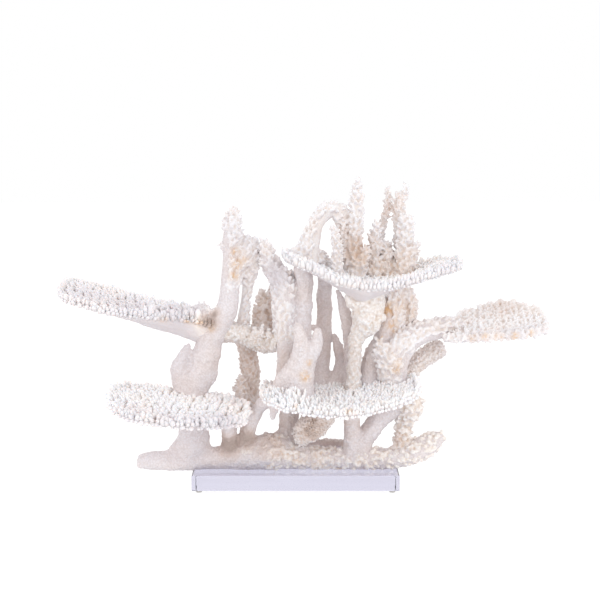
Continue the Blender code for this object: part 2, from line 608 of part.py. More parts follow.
def main():
    clear_scene()
    acrylic = make_material("acrylic", (0.93, 0.93, 0.98), 0.03, alpha=0.45, transmission=1.0, ior=1.49)
    rubber = make_material("bumper_rubber", (0.25, 0.24, 0.25), 0.5)
    smooth = make_material("coral_smooth", (0.83, 0.80, 0.80), 0.75)
    knobby = make_material("coral_knobby", (0.86, 0.81, 0.77), 0.8)
    finger = make_material("coral_finger", (0.87, 0.84, 0.83), 0.8)
    plate = make_material("coral_plate", (0.85, 0.82, 0.81), 0.8)
    granular = make_material("coral_granular", (0.80, 0.75, 0.73), 0.85)
    rough = make_material("coral_broken", (0.88, 0.84, 0.78), 0.85)
    coral = Coral()
    add_stand(coral, acrylic, rubber)
    add_log(coral, smooth)
    add_plates(coral, plate, granular)
    add_supports(coral, smooth, knobby, rough)
    add_left_side(coral, finger, smooth, granular, rough)
    add_centre(coral, finger, smooth, rough)
    add_fingers(coral, finger)
    coral.remove_cutters()


main()
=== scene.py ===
# %% [markdown]
# # Branching coral on a clear acrylic stand
# The real object is a group of bleached coral: table plates, upright fingers and broken branches
# that grow from one log, mounted on a low acrylic block.  The solids of the part carry the size and
# the place of every limb.  This script dresses each limb with a finer surface of the same form,
# because a coral's look comes from thousands of small knobs that solids can't carry.

import math

import bpy
import numpy as np
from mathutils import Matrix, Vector


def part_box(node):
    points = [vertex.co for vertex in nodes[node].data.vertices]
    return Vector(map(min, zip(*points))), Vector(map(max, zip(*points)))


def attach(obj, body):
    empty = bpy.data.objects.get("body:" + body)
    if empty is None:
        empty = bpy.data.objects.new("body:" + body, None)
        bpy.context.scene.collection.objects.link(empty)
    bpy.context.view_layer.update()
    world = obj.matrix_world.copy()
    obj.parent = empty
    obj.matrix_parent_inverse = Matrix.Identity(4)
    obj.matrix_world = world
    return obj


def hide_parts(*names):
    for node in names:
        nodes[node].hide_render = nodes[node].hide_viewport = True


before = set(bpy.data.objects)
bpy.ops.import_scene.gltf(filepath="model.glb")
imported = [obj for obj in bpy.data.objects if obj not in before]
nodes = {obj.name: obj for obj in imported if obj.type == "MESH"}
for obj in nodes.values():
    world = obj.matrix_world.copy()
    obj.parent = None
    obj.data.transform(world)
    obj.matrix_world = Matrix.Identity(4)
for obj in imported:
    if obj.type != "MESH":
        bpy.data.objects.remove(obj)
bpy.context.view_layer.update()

# %% [markdown]
# The limbs below are drawn in millimetres, measured from the middle of the block and from the
# surface that its feet stand on.  The block's own box gives the step from there to the frame.

# %% Ruler
MM = 0.001
block_low, block_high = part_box("acrylic_block")
BLOCK_MIDDLE = np.array([(block_low.x + block_high.x) / 2, (block_low.y + block_high.y) / 2, 0.0])


def placed(points):
    """Millimetres from the block's middle made metres in the frame."""
    return np.asarray(points, float) * MM + BLOCK_MIDDLE


print("block middle", BLOCK_MIDDLE.round(4), "size", [round(v, 4) for v in block_high - block_low])

# %% [markdown]
# ## Camera, floor and light
# The photograph is a product picture: a long lens a little above the stand, a white ground that
# runs out of sight, and soft light from everywhere, with a window at the upper left and a larger
# one at the right front.  The place and the tilt of the camera follow from the outline of the
# block's top and front faces.

# %% Camera
TILT_DOWN = 7.33
camera_data = bpy.data.cameras.new("camera")
camera_data.lens = 84.0
camera_data.sensor_width = 36.0
camera_data.clip_end = 50.0
camera = bpy.data.objects.new("camera", camera_data)
bpy.context.scene.collection.objects.link(camera)
camera.location = placed((5.36, -1721.3, 452.5))
camera.rotation_euler = (math.radians(90.0 - TILT_DOWN), 0.0, 0.0)
bpy.context.scene.camera = camera
print("camera at", [round(v, 3) for v in camera.location], "tilted down by", TILT_DOWN, "degrees")

# %% [markdown]
# A finish in Blender is a net of nodes that ends in one shader.  All the finishes of this scene
# are made of the same few kinds of nodes, so these are gathered in one class.


# %% Nets of nodes
class Finish:
    """A material while its net is made; place is the point on the object that textures read."""

    def __init__(self, name):
        self.material = bpy.data.materials.new(name)
        self.material.use_nodes = True
        self.tree = self.material.node_tree
        self.shader = self.tree.nodes["Principled BSDF"]
        self.place = self.add("ShaderNodeTexCoord").outputs["Object"]

    def add(self, kind, **settings):
        """A new node of a kind, with its settings."""
        node = self.tree.nodes.new(kind)
        for key, value in settings.items():
            setattr(node, key, value)
        return node

    def feed(self, node, sockets):
        """Gives the inputs of a node a number, a colour, or the output of another node."""
        for label, value in sockets.items():
            socket = node.inputs[label]
            if isinstance(value, bpy.types.NodeSocket):
                self.tree.links.new(value, socket)
            else:
                socket.default_value = (*value, 1.0) if socket.type == "RGBA" else value

    def mix(self, factor, first, second):
        """The first colour where the factor is 0, and the second where it is 1."""
        # among its sockets, the colours are inputs 6 and 7 and output 2
        node = self.add("ShaderNodeMix", data_type="RGBA")
        self.feed(node, {0: factor, 6: first, 7: second})
        return node.outputs[2]

    def times(self, first, second):
        """Two values multiplied."""
        node = self.add("ShaderNodeMath", operation="MULTIPLY")
        self.feed(node, {0: first, 1: second})
        return node.outputs[0]

    def noise(self, scale, detail=2.0):
        """Soft noise between 0 and 1; a larger scale makes finer noise."""
        node = self.add("ShaderNodeTexNoise")
        self.feed(node, {"Vector": self.place, "Scale": scale, "Detail": detail})
        return node.outputs["Fac"]

    def span(self, value, low, high, to_low=0.0, to_high=1.0):
        """The range low..high made to_low..to_high, and held to it."""
        node = self.add("ShaderNodeMapRange", clamp=True)
        self.feed(node, {"Value": value, "From Min": low, "From Max": high,
                         "To Min": to_low, "To Max": to_high})
        return node.outputs["Result"]

    def attribute(self, label):
        """A value that each point of the mesh carries."""
        return self.add("ShaderNodeAttribute", attribute_name=label).outputs["Fac"]


# %% [markdown]
# A floor that glows stays white right up to the feet, as in such a picture.  The white world is
# the light from everywhere, and two square lamps are the windows.

# %% Floor and light
REACH = 6.0
FLOOR_GLOW = 0.93
WHITE = (1.0, 1.0, 1.0)
MIDDLE = Vector((0, 0, 0.2))


def softbox(name, place, size, power, colour):
    """A square area light that faces the middle of the object."""
    data = bpy.data.lights.new(name, "AREA")
    data.size = size
    data.energy = power
    data.color = colour
    light = bpy.data.objects.new(name, data)
    bpy.context.scene.collection.objects.link(light)
    light.location = place
    light.rotation_euler = (MIDDLE - Vector(place)).to_track_quat("-Z", "Y").to_euler()


floor_mesh = bpy.data.meshes.new("floor")
floor_corners = [(-REACH, -REACH, 0), (REACH, -REACH, 0), (REACH, REACH, 0), (-REACH, REACH, 0)]
floor_mesh.from_pydata(floor_corners, [], [(0, 1, 2, 3)])
floor = bpy.data.objects.new("floor", floor_mesh)
bpy.context.scene.collection.objects.link(floor)
floor_white = Finish("floor_white")
floor_white.feed(floor_white.shader, {"Base Color": (0.15, 0.15, 0.15), "Roughness": 0.9,
                                      "Emission Color": WHITE, "Emission Strength": FLOOR_GLOW})
floor_mesh.materials.append(floor_white.material)

world = bpy.data.worlds.new("studio")
world.use_nodes = True
background = world.node_tree.nodes["Background"]
background.inputs["Color"].default_value = (*WHITE, 1.0)
background.inputs["Strength"].default_value = 1.0
bpy.context.scene.world = world
bpy.context.scene.view_settings.view_transform = "Standard"
softbox("window_left", (-1.7, -1.0, 1.1), size=1.1, power=5.9, colour=(0.93, 0.95, 1.0))
softbox("front_fill", (1.3, -1.9, 0.9), size=1.4, power=10.0, colour=(0.93, 0.96, 1.0))
print("lights:", *bpy.data.lights.keys())

# %% [markdown]
# ## Tools for growing coral
# Every limb is a round section carried along a smooth line through a few listed points.  The
# section is made uneven by soft ripples, so no two limbs look turned on a lathe.


# %% Lines and ripples
def step_lengths(points):
    """The distance from each point of a line to the next."""
    return np.linalg.norm(np.diff(points, axis=0), axis=1)


def running(steps):
    """The running total of some steps, from 0."""
    return np.concatenate([[0.0], np.cumsum(steps)])


def read_at(at, along, rows):
    """Rows of values, which stand at the lengths along, read at other lengths."""
    return np.stack([np.interp(at, along, column) for column in rows.T], 1)


def follow(points, step):
    """A smooth line through a few rows of values, read at even steps.

    Each stretch is a cubic whose end slopes are those of the chords between the neighbours.
    """
    knots = np.asarray(points, float)
    gaps = step_lengths(knots[:, :3])
    along = running(gaps)
    slopes = np.gradient(knots, along, axis=0)
    at = np.linspace(0.0, along[-1], max(4, round(along[-1] / step)) + 1)
    piece = np.clip(np.searchsorted(along, at, side="right") - 1, 0, len(gaps) - 1)
    width = gaps[piece][:, None]
    t = (at[:, None] - along[piece][:, None]) / width
    start, end = knots[piece], knots[piece + 1]
    from_slope, to_slope = slopes[piece] * width, slopes[piece + 1] * width
    return ((2 * t**3 - 3 * t**2 + 1) * start + (t**3 - 2 * t**2 + t) * from_slope
            + (3 * t**2 - 2 * t**3) * end + (t**3 - t**2) * to_slope)


def unit(vectors):
    """Each row divided by its own length."""
    return vectors / np.maximum(np.linalg.norm(vectors, axis=-1, keepdims=True), 1e-9)


def square_to(ways):
    """Two directions square to each way: across = way x (nearly Y), and beside = way x across."""
    across = unit(np.cross(ways, (0.06, 1.0, 0.09)))
    return across, np.cross(ways, across)


def turned(angle, across, beside):
    """The direction across turned by each angle: cos(angle) * across + sin(angle) * beside."""
    return np.cos(angle)[..., None] * across + np.sin(angle)[..., None] * beside


def ripple(points, size, seed, waves=14):
    """Soft unevenness of one size: the sum of cosine waves in chance directions, mostly in -1 to 1."""
    chance = np.random.default_rng(seed)
    ways = chance.normal(size=(3, waves))
    ways *= 2 * np.pi / size / np.linalg.norm(ways, axis=0)
    return np.cos(points @ ways + chance.uniform(0, 2 * np.pi, waves)).sum(-1) / math.sqrt(waves)


# %% [markdown]
# A piece is often made of a core and hundreds of knobs.  They are gathered in a pile of points and
# faces, with a value at each point from 0 or less in a crevice to 1 at a tip, which stands for the
# knobs' own tone and also paints shade into the crevices.  When the pile becomes a mesh, two more
# values join it: the stain, and the painted shade, warm above 0 and lavender below 0.


# %% Piles and pieces
def seed_of(name, line=0):
    """A steady number from a name and a line's place, so a limb's chance is the same every time."""
    return 31 * line + sum((index + 1) * ord(letter) for index, letter in enumerate(name))


def ring_faces(rings, around):
    """The faces between neighbouring rings of a closed section, and fans to a point at each end.

    Ring k holds points k * around and on; the two end points come after all the rings.
    """
    ring, corner = np.meshgrid(np.arange(rings - 1), np.arange(around), indexing="ij")
    low = ring * around + corner
    low_next = ring * around + (corner + 1) % around
    quads = np.stack([low, low_next, low_next + around, low + around], -1).reshape(-1, 4)
    corner = np.arange(around)
    after = (corner + 1) % around
    foot = np.full(around, rings * around)
    last = (rings - 1) * around
    fans = np.concatenate([np.stack([after, corner, foot], -1),
                           np.stack([last + corner, last + after, foot + 1], -1)])
    return quads, fans


class Pile:
    """What one piece is made of: points in millimetres, faces, and at each point a value from crevice
    to tip, partly painted shade.
    """

    def __init__(self):
        self.points, self.quads, self.fans, self.growth_and_shade = [], [], [], []
        self.count = 0

    def add(self, points, quads, fans, growth_and_shade):
        """More points, with faces that count from the first of them."""
        self.points.append(points.reshape(-1, 3))
        self.quads.append(quads.reshape(-1, 4) + self.count)
        self.fans.append(fans.reshape(-1, 3) + self.count)
        self.growth_and_shade.append(np.broadcast_to(growth_and_shade, self.points[-1].shape[:1]))
        self.count += len(self.points[-1])


total_triangles = 0


def soft_spots(points, spots):
    """The strongest of the soft balls (x, y, z, size, strength) that reach each point.

    A ball's reach is strength * e to the minus (distance / size) squared.
    """
    value = np.zeros(len(points))
    for x, y, z, size, strength in spots:
        away = np.linalg.norm(points - (x, y, z), axis=1) / size
        value = np.maximum(value, strength * np.exp(-away**2))
    return value


def make_piece(name, pile, finish, slot, *replaced):
    """Turns a pile into a mesh piece of a kind of finish that stands for the named solids.

    The painted shade is below 0, a lavender painted shade, in the listed lavender places and where the
    skin faces down: there it is -0.9 * (-1.5 * nz - 0.35), held to -0.9..0, where nz is the upward
    part of the normal.  Above 0 it is a warm painted shade.
    """
    global total_triangles
    points = np.concatenate(pile.points)
    quads, fans = np.concatenate(pile.quads), np.concatenate(pile.fans)
    mesh = bpy.data.meshes.new(name)
    mesh.vertices.add(len(points))
    mesh.vertices.foreach_set("co", placed(points).astype(np.float32).ravel())
    corners = np.concatenate([quads.ravel(), fans.ravel()])
    starts = np.concatenate([np.arange(len(quads)) * 4, len(quads) * 4 + np.arange(len(fans)) * 3])
    mesh.loops.add(len(corners))
    mesh.loops.foreach_set("vertex_index", corners.astype(np.int32))
    mesh.polygons.add(len(starts))
    mesh.polygons.foreach_set("loop_start", starts.astype(np.int32))
    mesh.polygons.foreach_set("use_smooth", np.ones(len(starts), bool))
    mesh.update(calc_edges=True)
    normals = np.empty(3 * len(points), np.float32)
    mesh.vertices.foreach_get("normal", normals)
    # painted shade: lavender where the skin faces down and in the listed places, warm in the warm places
    painted_cool_shade = np.maximum(0.9 * np.clip(-1.5 * normals[2::3] - 0.35, 0, 1), soft_spots(points, PAINTED_COOL_SHADE_PLACES))
    for label, values in (("growth_and_shade", np.concatenate(pile.growth_and_shade)), ("stain", soft_spots(points, SCARS)),
                          ("painted_shade", soft_spots(points, PAINTED_WARM_SHADE_PLACES) - painted_cool_shade)):
        mesh.attributes.new(label, "FLOAT", "POINT").data.foreach_set("value", values.astype(np.float32))
    mesh.materials.append(finishes[finish])
    piece = bpy.data.objects.new(name, mesh)
    bpy.context.scene.collection.objects.link(piece)
    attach(piece, "root")
    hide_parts(*replaced)
    triangles = 2 * len(quads) + len(fans)
    total_triangles += triangles
    print(f"{name}: {triangles} triangles")


# %% [markdown]
# Where real branches meet they flow into one another, and so do knobs and the limb they grow on.
# So tubes and pegs are first made that cut through each other, and then a single skin is drawn
# round all of them: Blender's Remesh modifier fills them with small voxels, and its Smooth modifier
# melts the seams into soft hollows.


# %% Fusing limbs
def fuse(pile, voxel, rounds):
    """One skin round all the tubes of a pile, with its outward directions.

    The skin follows voxels of the given size in millimetres.  Each round then moves every point
    halfway to the middle of its neighbours.
    """
    mesh = bpy.data.meshes.new("tubes")
    mesh.from_pydata(np.concatenate(pile.points).tolist(), [],
                     np.concatenate(pile.quads).tolist() + np.concatenate(pile.fans).tolist())
    tubes = bpy.data.objects.new("tubes", mesh)
    bpy.context.scene.collection.objects.link(tubes)
    voxels = tubes.modifiers.new("voxels", "REMESH")
    voxels.mode = "VOXEL"
    voxels.voxel_size = voxel
    softening = tubes.modifiers.new("melt", "SMOOTH")
    softening.factor = 0.5
    softening.iterations = rounds
    bpy.context.view_layer.update()
    skin = bpy.data.meshes.new_from_object(tubes.evaluated_get(bpy.context.evaluated_depsgraph_get()))
    points, normals = np.empty(3 * len(skin.vertices)), np.empty(3 * len(skin.vertices))
    skin.vertices.foreach_get("co", points)
    skin.vertices.foreach_get("normal", normals)
    corners = np.empty(len(skin.loops), int)
    skin.loops.foreach_get("vertex_index", corners)
    bpy.data.objects.remove(tubes)
    bpy.data.meshes.remove(mesh)
    bpy.data.meshes.remove(skin)
    return points.reshape(-1, 3), normals.reshape(-1, 3), corners.reshape(-1, 4)


NO_FANS = np.zeros((0, 3), int)
SETTLING_ROUNDS = 12


def settle(points, quads, rounds):
    """Moves every point halfway to the middle of its neighbours, round after round."""
    beside = np.roll(quads, 1, axis=1)
    start, end = np.concatenate([quads, beside]).ravel(), np.concatenate([beside, quads]).ravel()
    neighbours = np.bincount(start, minlength=len(points))[:, None]
    for _ in range(rounds):
        total = np.stack([np.bincount(start, points[end, k], len(points)) for k in range(3)], 1)
        points = 0.5 * points + 0.5 * total / neighbours
    return points


def melted(pile, voxel, relief=0.2):
    """The pile fused to one skin; its crevice-to-tip value is 0.5 + the millimetres a point stands out
    of its surroundings, so sunken places take the crevice colour as a painted shade.

    The surroundings are the same skin after it has settled; fine ripples of the relief in
    millimetres are added at the end.
    """
    points, normals, quads = fuse(pile, voxel, rounds=1)
    stands_out = ((points - settle(points, quads, SETTLING_ROUNDS)) * normals).sum(1)
    skin = Pile()
    skin.add(points + normals * (relief * ripple(points, size=3.0, seed=83))[:, None], quads, NO_FANS,
             np.clip(0.5 + stands_out, -0.3, 1))
    return skin


# %% [markdown]
# A knob is a short rounded peg.  One profile is turned about each knob's own way, and all the knobs
# of a limb are worked out together as one array.

# %% Knobs
# profiles: the height of each ring as a share of the length, and its share of the width
PEG = ((0.0, 1.0), (0.38, 1.04), (0.72, 0.86), (0.93, 0.5))
GRAIN = ((0.0, 1.0), (0.55, 0.92), (0.88, 0.52))


def knobs(pile, spots, ways, widths, lengths, seed, profile=PEG, sides=6, bend=0.12):
    """Pegs on a surface, each uneven by chance and closed by a point at its top and its foot.

    Ring k of a knob lies at height_k * length along its way, with radius width_k * width.  The peg
    bends sideways as the square of the height, by at most the share bend of its length.
    """
    chance = np.random.default_rng(seed)
    count = len(spots)
    ways = unit(ways)
    across = unit(np.cross(ways, chance.normal(size=(count, 3))))
    beside = np.cross(ways, across)
    heights, shares = np.array(profile).T
    angle = 2 * np.pi * np.arange(sides) / sides
    uneven = chance.uniform(0.84, 1.16, (count, len(shares), sides))
    reach = widths[:, None, None] * shares[None, :, None] * uneven
    lift = lengths[:, None] * heights[None, :]
    sway = across * chance.uniform(-bend, bend, (count, 1)) + beside * chance.uniform(-bend, bend, (count, 1))
    centre = (spots[:, None, :] + ways[:, None, :] * lift[..., None]
              + sway[:, None, :] * (lengths[:, None] * heights[None, :]**2)[..., None])
    out = turned(angle, across[:, None, None, :], beside[:, None, None, :])
    rings = centre[:, :, None, :] + reach[..., None] * out
    foot = spots - 0.1 * ways * lengths[:, None]
    tip = spots + (ways + sway) * lengths[:, None]
    points = np.concatenate([rings.reshape(count, -1, 3), foot[:, None], tip[:, None]], 1)
    quads, fans = ring_faces(len(heights), sides)
    step = (np.arange(count) * points.shape[1])[:, None, None]
    # the feet of the knobs take the crevice colour: partly their own cream, partly painted shade
    growth_and_shade = 0.25 + 0.75 * np.concatenate([np.repeat(heights, sides), [0.0, 1.0]])
    pile.add(points, quads[None] + step, fans[None] + step, np.tile(growth_and_shade, count))


# %% [markdown]
# The core of a limb is a tube.  Its ends are closed by rings that shrink like a dome: deep for a
# grown tip, shallow for a place where the branch has broken off.

# %% Limb cores
AROUND = 30
STEP = 2.4
GROWN_TIP = 0.9
FOOT_DOME = 0.3
TUBE_DOME_RINGS = 5
SKINS = {
    # name: (fine bumps in mm, their size, slow lumps as a share of the radius, their size, and the
    # crevice-to-tip value, partly painted shade)
    "plain": (0.0, 5.0, 0.03, 24.0, 0.7),
    "granular": (0.55, 3.0, 0.04, 18.0, 0.6),
    "broken": (1.5, 6.0, 0.09, 15.0, 0.75),
    "hidden": (0.4, 4.0, 0.04, 20.0, 0.3),
}


def held(values, rings):
    """Rows of values whose first and last are held over that many rings of the domes."""
    return np.concatenate([np.repeat(values[:1], rings, 0), values, np.repeat(values[-1:], rings, 0)])


def domed(line, ways, depth, foot, tip, rings):
    """A line of rings made longer by a dome at each end.

    Dome ring k lies sin(a) * depth * foot (or tip) beyond the end and is cos(a) times as wide.
    Returns the longer line, the shares of the width, and the two points that close it.
    """
    dome = np.linspace(0, np.pi / 2, rings + 2)[1:-1]
    longer = np.concatenate([line[0] - ways[0] * (np.sin(dome)[::-1, None] * foot * depth[0]), line,
                             line[-1] + ways[-1] * (np.sin(dome)[:, None] * tip * depth[-1])])
    shares = np.concatenate([np.cos(dome)[::-1], np.ones(len(line)), np.cos(dome)])
    ends = np.stack([line[0] - ways[0] * foot * depth[0], line[-1] + ways[-1] * tip * depth[-1]])
    return longer, shares, ends


def tube(pile, points, skin, seed, tip=GROWN_TIP, shrink=0.0):
    """A round section carried along a smooth line, closed by a dome at each end.

    Every point is moved out by slow lumps and by bumps: fine * (0.65 of a ripple + 0.45 of another
    of half its size).  The radius is less than the line's by
    the shrink in millimetres.  Returns what knobs need to sit on it.
    """
    rows = follow(points, STEP)
    centres, radii = rows[:, :3], np.maximum(rows[:, 3] - shrink, 1.0)
    ways = unit(np.gradient(centres, axis=0))
    line, shares, ends = domed(centres, ways, radii, FOOT_DOME, tip, TUBE_DOME_RINGS)
    wide = held(radii, TUBE_DOME_RINGS) * shares
    across, beside = square_to(held(ways, TUBE_DOME_RINGS))
    angle = 2 * np.pi * np.arange(AROUND) / AROUND
    out = turned(angle, across[:, None], beside[:, None])
    skin_points = line[:, None] + wide[:, None, None] * out
    fine, fine_size, slow, slow_size, grown_and_lit = SKINS[skin]
    lumps = slow * ripple(skin_points, slow_size, seed) * wide[:, None]
    bumps = fine * (0.65 * ripple(skin_points, fine_size, seed + 1)
                    + 0.45 * ripple(skin_points, fine_size * 0.5, seed + 2))
    skin_points = skin_points + out * (lumps + bumps)[..., None]
    quads, fans = ring_faces(len(line), AROUND)
    # where the bumps sink, the colour turns towards the crevice colour, a painted shade in the dips
    growth_and_shade = np.concatenate([np.clip(grown_and_lit + 0.16 * bumps / max(fine, 0.1), 0, 1).ravel(), [grown_and_lit, grown_and_lit]])
    pile.add(np.concatenate([skin_points.reshape(-1, 3), ends]), quads, fans, growth_and_shade)
    return centres, radii, ways


# %% [markdown]
# Knobs cover a branch as evenly as seeds cover the head of a sunflower, and most of them lean
# towards the tip, the way the branch grows.

# %% Kinds of knobs
GOLDEN_TURN = 2.39996
HEXAGON = 0.87
KNOBS = {
    # name: (radius, length, gap, lean towards the tip, profile, sides)
    "nubs": (2.3, 7.2, 5.7, 0.9, PEG, 7),
    "fine nubs": (1.8, 5.8, 4.7, 0.9, PEG, 6),
    "balls": (3.0, 5.6, 6.4, 0.1, GRAIN, 8),
    "grains": (2.0, 3.0, 4.4, 0.3, GRAIN, 6),
    "crumbs": (1.7, 2.2, 4.0, 0.1, GRAIN, 5),
}


def stud(pile, centres, radii, ways, kind, seed, start=0.0, end=1.0, facing=None):
    """Sets a core with knobs between two shares of its length, start and end.

    Knob i stands where the skin's area from the start reaches (i + a half) hexagons, which are 0.87
    gaps squared each, and it is turned by 137.5 degrees from the one before.  A dome of knobs
    closes the tip.  A facing of (x, y, z, least) keeps the knobs whose outward direction has more
    than the least along (x, y, z).
    """
    width, length, gap, lean, profile, sides = KNOBS[kind]
    chance = np.random.default_rng(seed)
    along = running(step_lengths(centres))
    area = running(np.diff(along) * np.pi * (radii[1:] + radii[:-1]))
    low, high = np.interp([start * along[-1], end * along[-1]], along, area)
    count = max(1, int((high - low) / (HEXAGON * gap**2)))
    at = np.interp(low + (high - low) * (np.arange(count) + 0.5) / count, area, along)
    at = at + chance.uniform(-0.35, 0.35, count) * gap
    turn = np.arange(count) * GOLDEN_TURN + chance.uniform(-0.25, 0.25, count)
    way = unit(read_at(at, along, ways))
    radius = np.interp(at, along, radii)
    across, beside = square_to(way)
    out = turned(turn, across, beside)
    spots = read_at(at, along, centres) + out * (radius * 0.97)[:, None] - out * 0.4
    leans = out + lean * way
    if end == 1.0:
        tip_count = max(4, int(2 * np.pi * radii[-1]**2 * 0.55 / gap**2))
        tilt = np.arccos(1 - (np.arange(tip_count) + 0.5) / tip_count)
        swing = np.arange(tip_count) * GOLDEN_TURN
        side, other = square_to(ways[-1:])
        cap_out = np.sin(tilt)[:, None] * turned(swing, side, other) + np.cos(tilt)[:, None] * ways[-1]
        spots = np.concatenate([spots, centres[-1] + cap_out * radii[-1] * 0.8])
        leans = np.concatenate([leans, cap_out + 0.5 * lean * ways[-1]])
        out = np.concatenate([out, cap_out])
    if facing:
        kept = out @ unit(np.array(facing[:3], float)) > facing[3]
        spots, leans = spots[kept], leans[kept]
    size = chance.uniform(0.72, 1.24, (2, len(spots)))
    knobs(pile, spots, leans, width * size[0], length * size[1], seed + 5, profile, sides)


# %% [markdown]
# A limb is then a few lines of cores and what each of them wears, fused to one skin.


# %% Melted limbs
def wears(kind, **limits):
    """A kind of knobs, and the limits of where a line wears them: the start, end and facing of stud."""
    return kind, limits


def melt(name, limbs, finish, slot, skin="hidden", voxel=1.2, shrink=1.2, relief=0.2, tip=GROWN_TIP):
    """Fuses the cores and knobs of some limbs to one piece.

    Each limb has its lines; a line is the points of its core and the knobs that it wears.  The tip
    is the dome of the first line only; side branches have grown tips.
    """
    pile = Pile()
    for limb, lines in limbs.items():
        for index, (points, *worn) in enumerate(lines):
            seed = seed_of(limb, index)
            core = tube(pile, points, skin, seed, tip if index == 0 else GROWN_TIP, shrink)
            for kind, limits in worn:
                stud(pile, *core, kind, seed + 3 * len(kind), **limits)
    make_piece(name, melted(pile, voxel, relief), finish, slot, *limbs)


# %% [markdown]
# ## Finishes
# Bleached coral is white with a faint lavender in the light, cream between the knobs, warm and
# pinkish where it stands in the shade of its neighbours, and ochre where old growth or glue has
# stained it.  The finish mixes these by the values that each point carries, shifts them slowly from
# place to place, and raises fine round grains as bump.  Much of the shade is painted into the
# colour: the warm shade of the neighbours, a lavender shade on undersides, darker dips between the
# grains, and the crevice colour, which is partly the coral's own cream and partly painted shade.  A
# little light also passes through the thin knobs, which keeps their shadows soft and warm.

# %% Coral finishes
CREAMY = (1.02, 0.985, 0.95)
# tint of the painted shade in the dips between the grains
SHADE_BETWEEN_GRAINS = (0.74, 0.70, 0.68)
# colours of the warm painted shade, in crevices and at tips
WARM_SHADE_CREVICE, WARM_SHADE_TIP = (0.66, 0.49, 0.39), (0.72, 0.61, 0.57)
DEEP_SHADE = (0.46, 0.37, 0.33)
COOL_SHADE = (0.70, 0.655, 0.69)
OCHRE, BROWN = (0.72, 0.44, 0.20), (0.20, 0.09, 0.04)


def tinted(colour, tint):
    """A colour multiplied by a tint."""
    return tuple(value * share for value, share in zip(colour, tint))


def coral_finish(name, tip, crevice, grain_scale, grain_height, grain_shade, glow_through=0.2):
    """Colour = crevice to tip by the tip value, then towards the warm or lavender painted shade, with
    painted shade between the grains, then stain.

    The grains are round cells with some noise, and also raise the skin as bump.  The last value is
    the share of the light that goes through the chalky skin for a few millimetres.
    """
    net = Finish(name)
    painted_shade, stain = net.attribute("painted_shade"), net.attribute("stain")
    # towards the crevice colour, which is partly the coral's cream and partly painted shade
    grown_and_lit = net.span(net.attribute("growth_and_shade"), -0.3, 0.8)
    drift = net.span(net.noise(24.0), 0.42, 0.62)
    colour = net.mix(grown_and_lit, crevice, net.mix(drift, tip, tinted(tip, CREAMY)))
    # warm painted shade where neighbours shade a limb, deepening to a brown painted shade above 1
    shade = net.mix(net.span(painted_shade, 1.0, 2.0), net.mix(grown_and_lit, WARM_SHADE_CREVICE, WARM_SHADE_TIP), DEEP_SHADE)
    patches = net.span(net.noise(60.0), 0.3, 0.6, 0.55, 1.0)
    colour = net.mix(net.times(painted_shade, patches), colour, shade)
    # a lavender painted shade where the painted shade is below 0
    colour = net.mix(net.span(painted_shade, 0.0, -1.0), colour, COOL_SHADE)
    cells = net.add("ShaderNodeTexVoronoi", feature="SMOOTH_F1")
    net.feed(cells, {"Vector": net.place, "Scale": grain_scale, "Smoothness": 0.4})
    grains = net.span(cells.outputs["Distance"], 0.05, 0.75, 1.0, 0.0)
    height = net.mix(0.45, grains, net.noise(grain_scale * 1.4, 3.0))
    # painted shade: the dips between the grains turn darker, by the grain shade
    hollow_shade = net.times(net.span(height, 0.28, 0.62, 1.0, 0.0), grain_shade)
    colour = net.mix(hollow_shade, colour, tinted(crevice, SHADE_BETWEEN_GRAINS))
    specks = net.span(net.noise(190.0), 0.4, 0.58, 0.2, 1.0)
    burnt = net.mix(net.span(stain, 1.0, 1.8), OCHRE, BROWN)
    bump = net.add("ShaderNodeBump")
    net.feed(bump, {"Strength": 0.9, "Distance": grain_height, "Height": height})
    net.feed(net.shader, {
        "Base Color": net.mix(net.times(stain, specks), colour, burnt), "Roughness": 0.8,
        "Specular IOR Level": 0.25, "Subsurface Weight": glow_through,
        "Subsurface Radius": (1.0, 0.88, 0.8), "Subsurface Scale": 0.002,
        "Normal": bump.outputs["Normal"]})
    return net.material


FINISHES = {
    # kind: colour at the tips, colour in the crevices (partly painted shade), grains per metre, their
    # height, the painted shade between them, and for the teeth the light that goes through
    "smooth": ((0.815, 0.775, 0.80), (0.73, 0.64, 0.61), 380.0, 0.0012, 0.3),
    "knobby": ((0.94, 0.92, 0.91), (0.74, 0.61, 0.51), 380.0, 0.0008, 0.25),
    "finger": ((0.895, 0.885, 0.91), (0.81, 0.72, 0.66), 420.0, 0.0007, 0.15),
    "plate": ((0.945, 0.93, 0.945), (0.80, 0.71, 0.66), 460.0, 0.0006, 0.1),
    "teeth": ((0.955, 0.94, 0.965), (0.93, 0.82, 0.74), 460.0, 0.0006, 0.1, 0.6),
    "granular": ((0.89, 0.86, 0.87), (0.73, 0.61, 0.53), 340.0, 0.0012, 0.35),
    "broken": ((0.965, 0.955, 0.965), (0.79, 0.67, 0.57), 300.0, 0.0016, 0.35),
}
finishes = {kind: coral_finish(f"coral_{kind}_skin", *values) for kind, values in FINISHES.items()}
print("finishes:", *finishes)

# %% [markdown]
# The stains and the places of painted shade are listed balls: ochre stains in the fork of the left
# finger, under the right plate's rim and down the pieces under the bowl; a brown painted shade in the
# pit of the upper left plate; a warm painted shade where the rear limbs stand in the shade of their
# neighbours, and a lavender painted shade along the left plates.

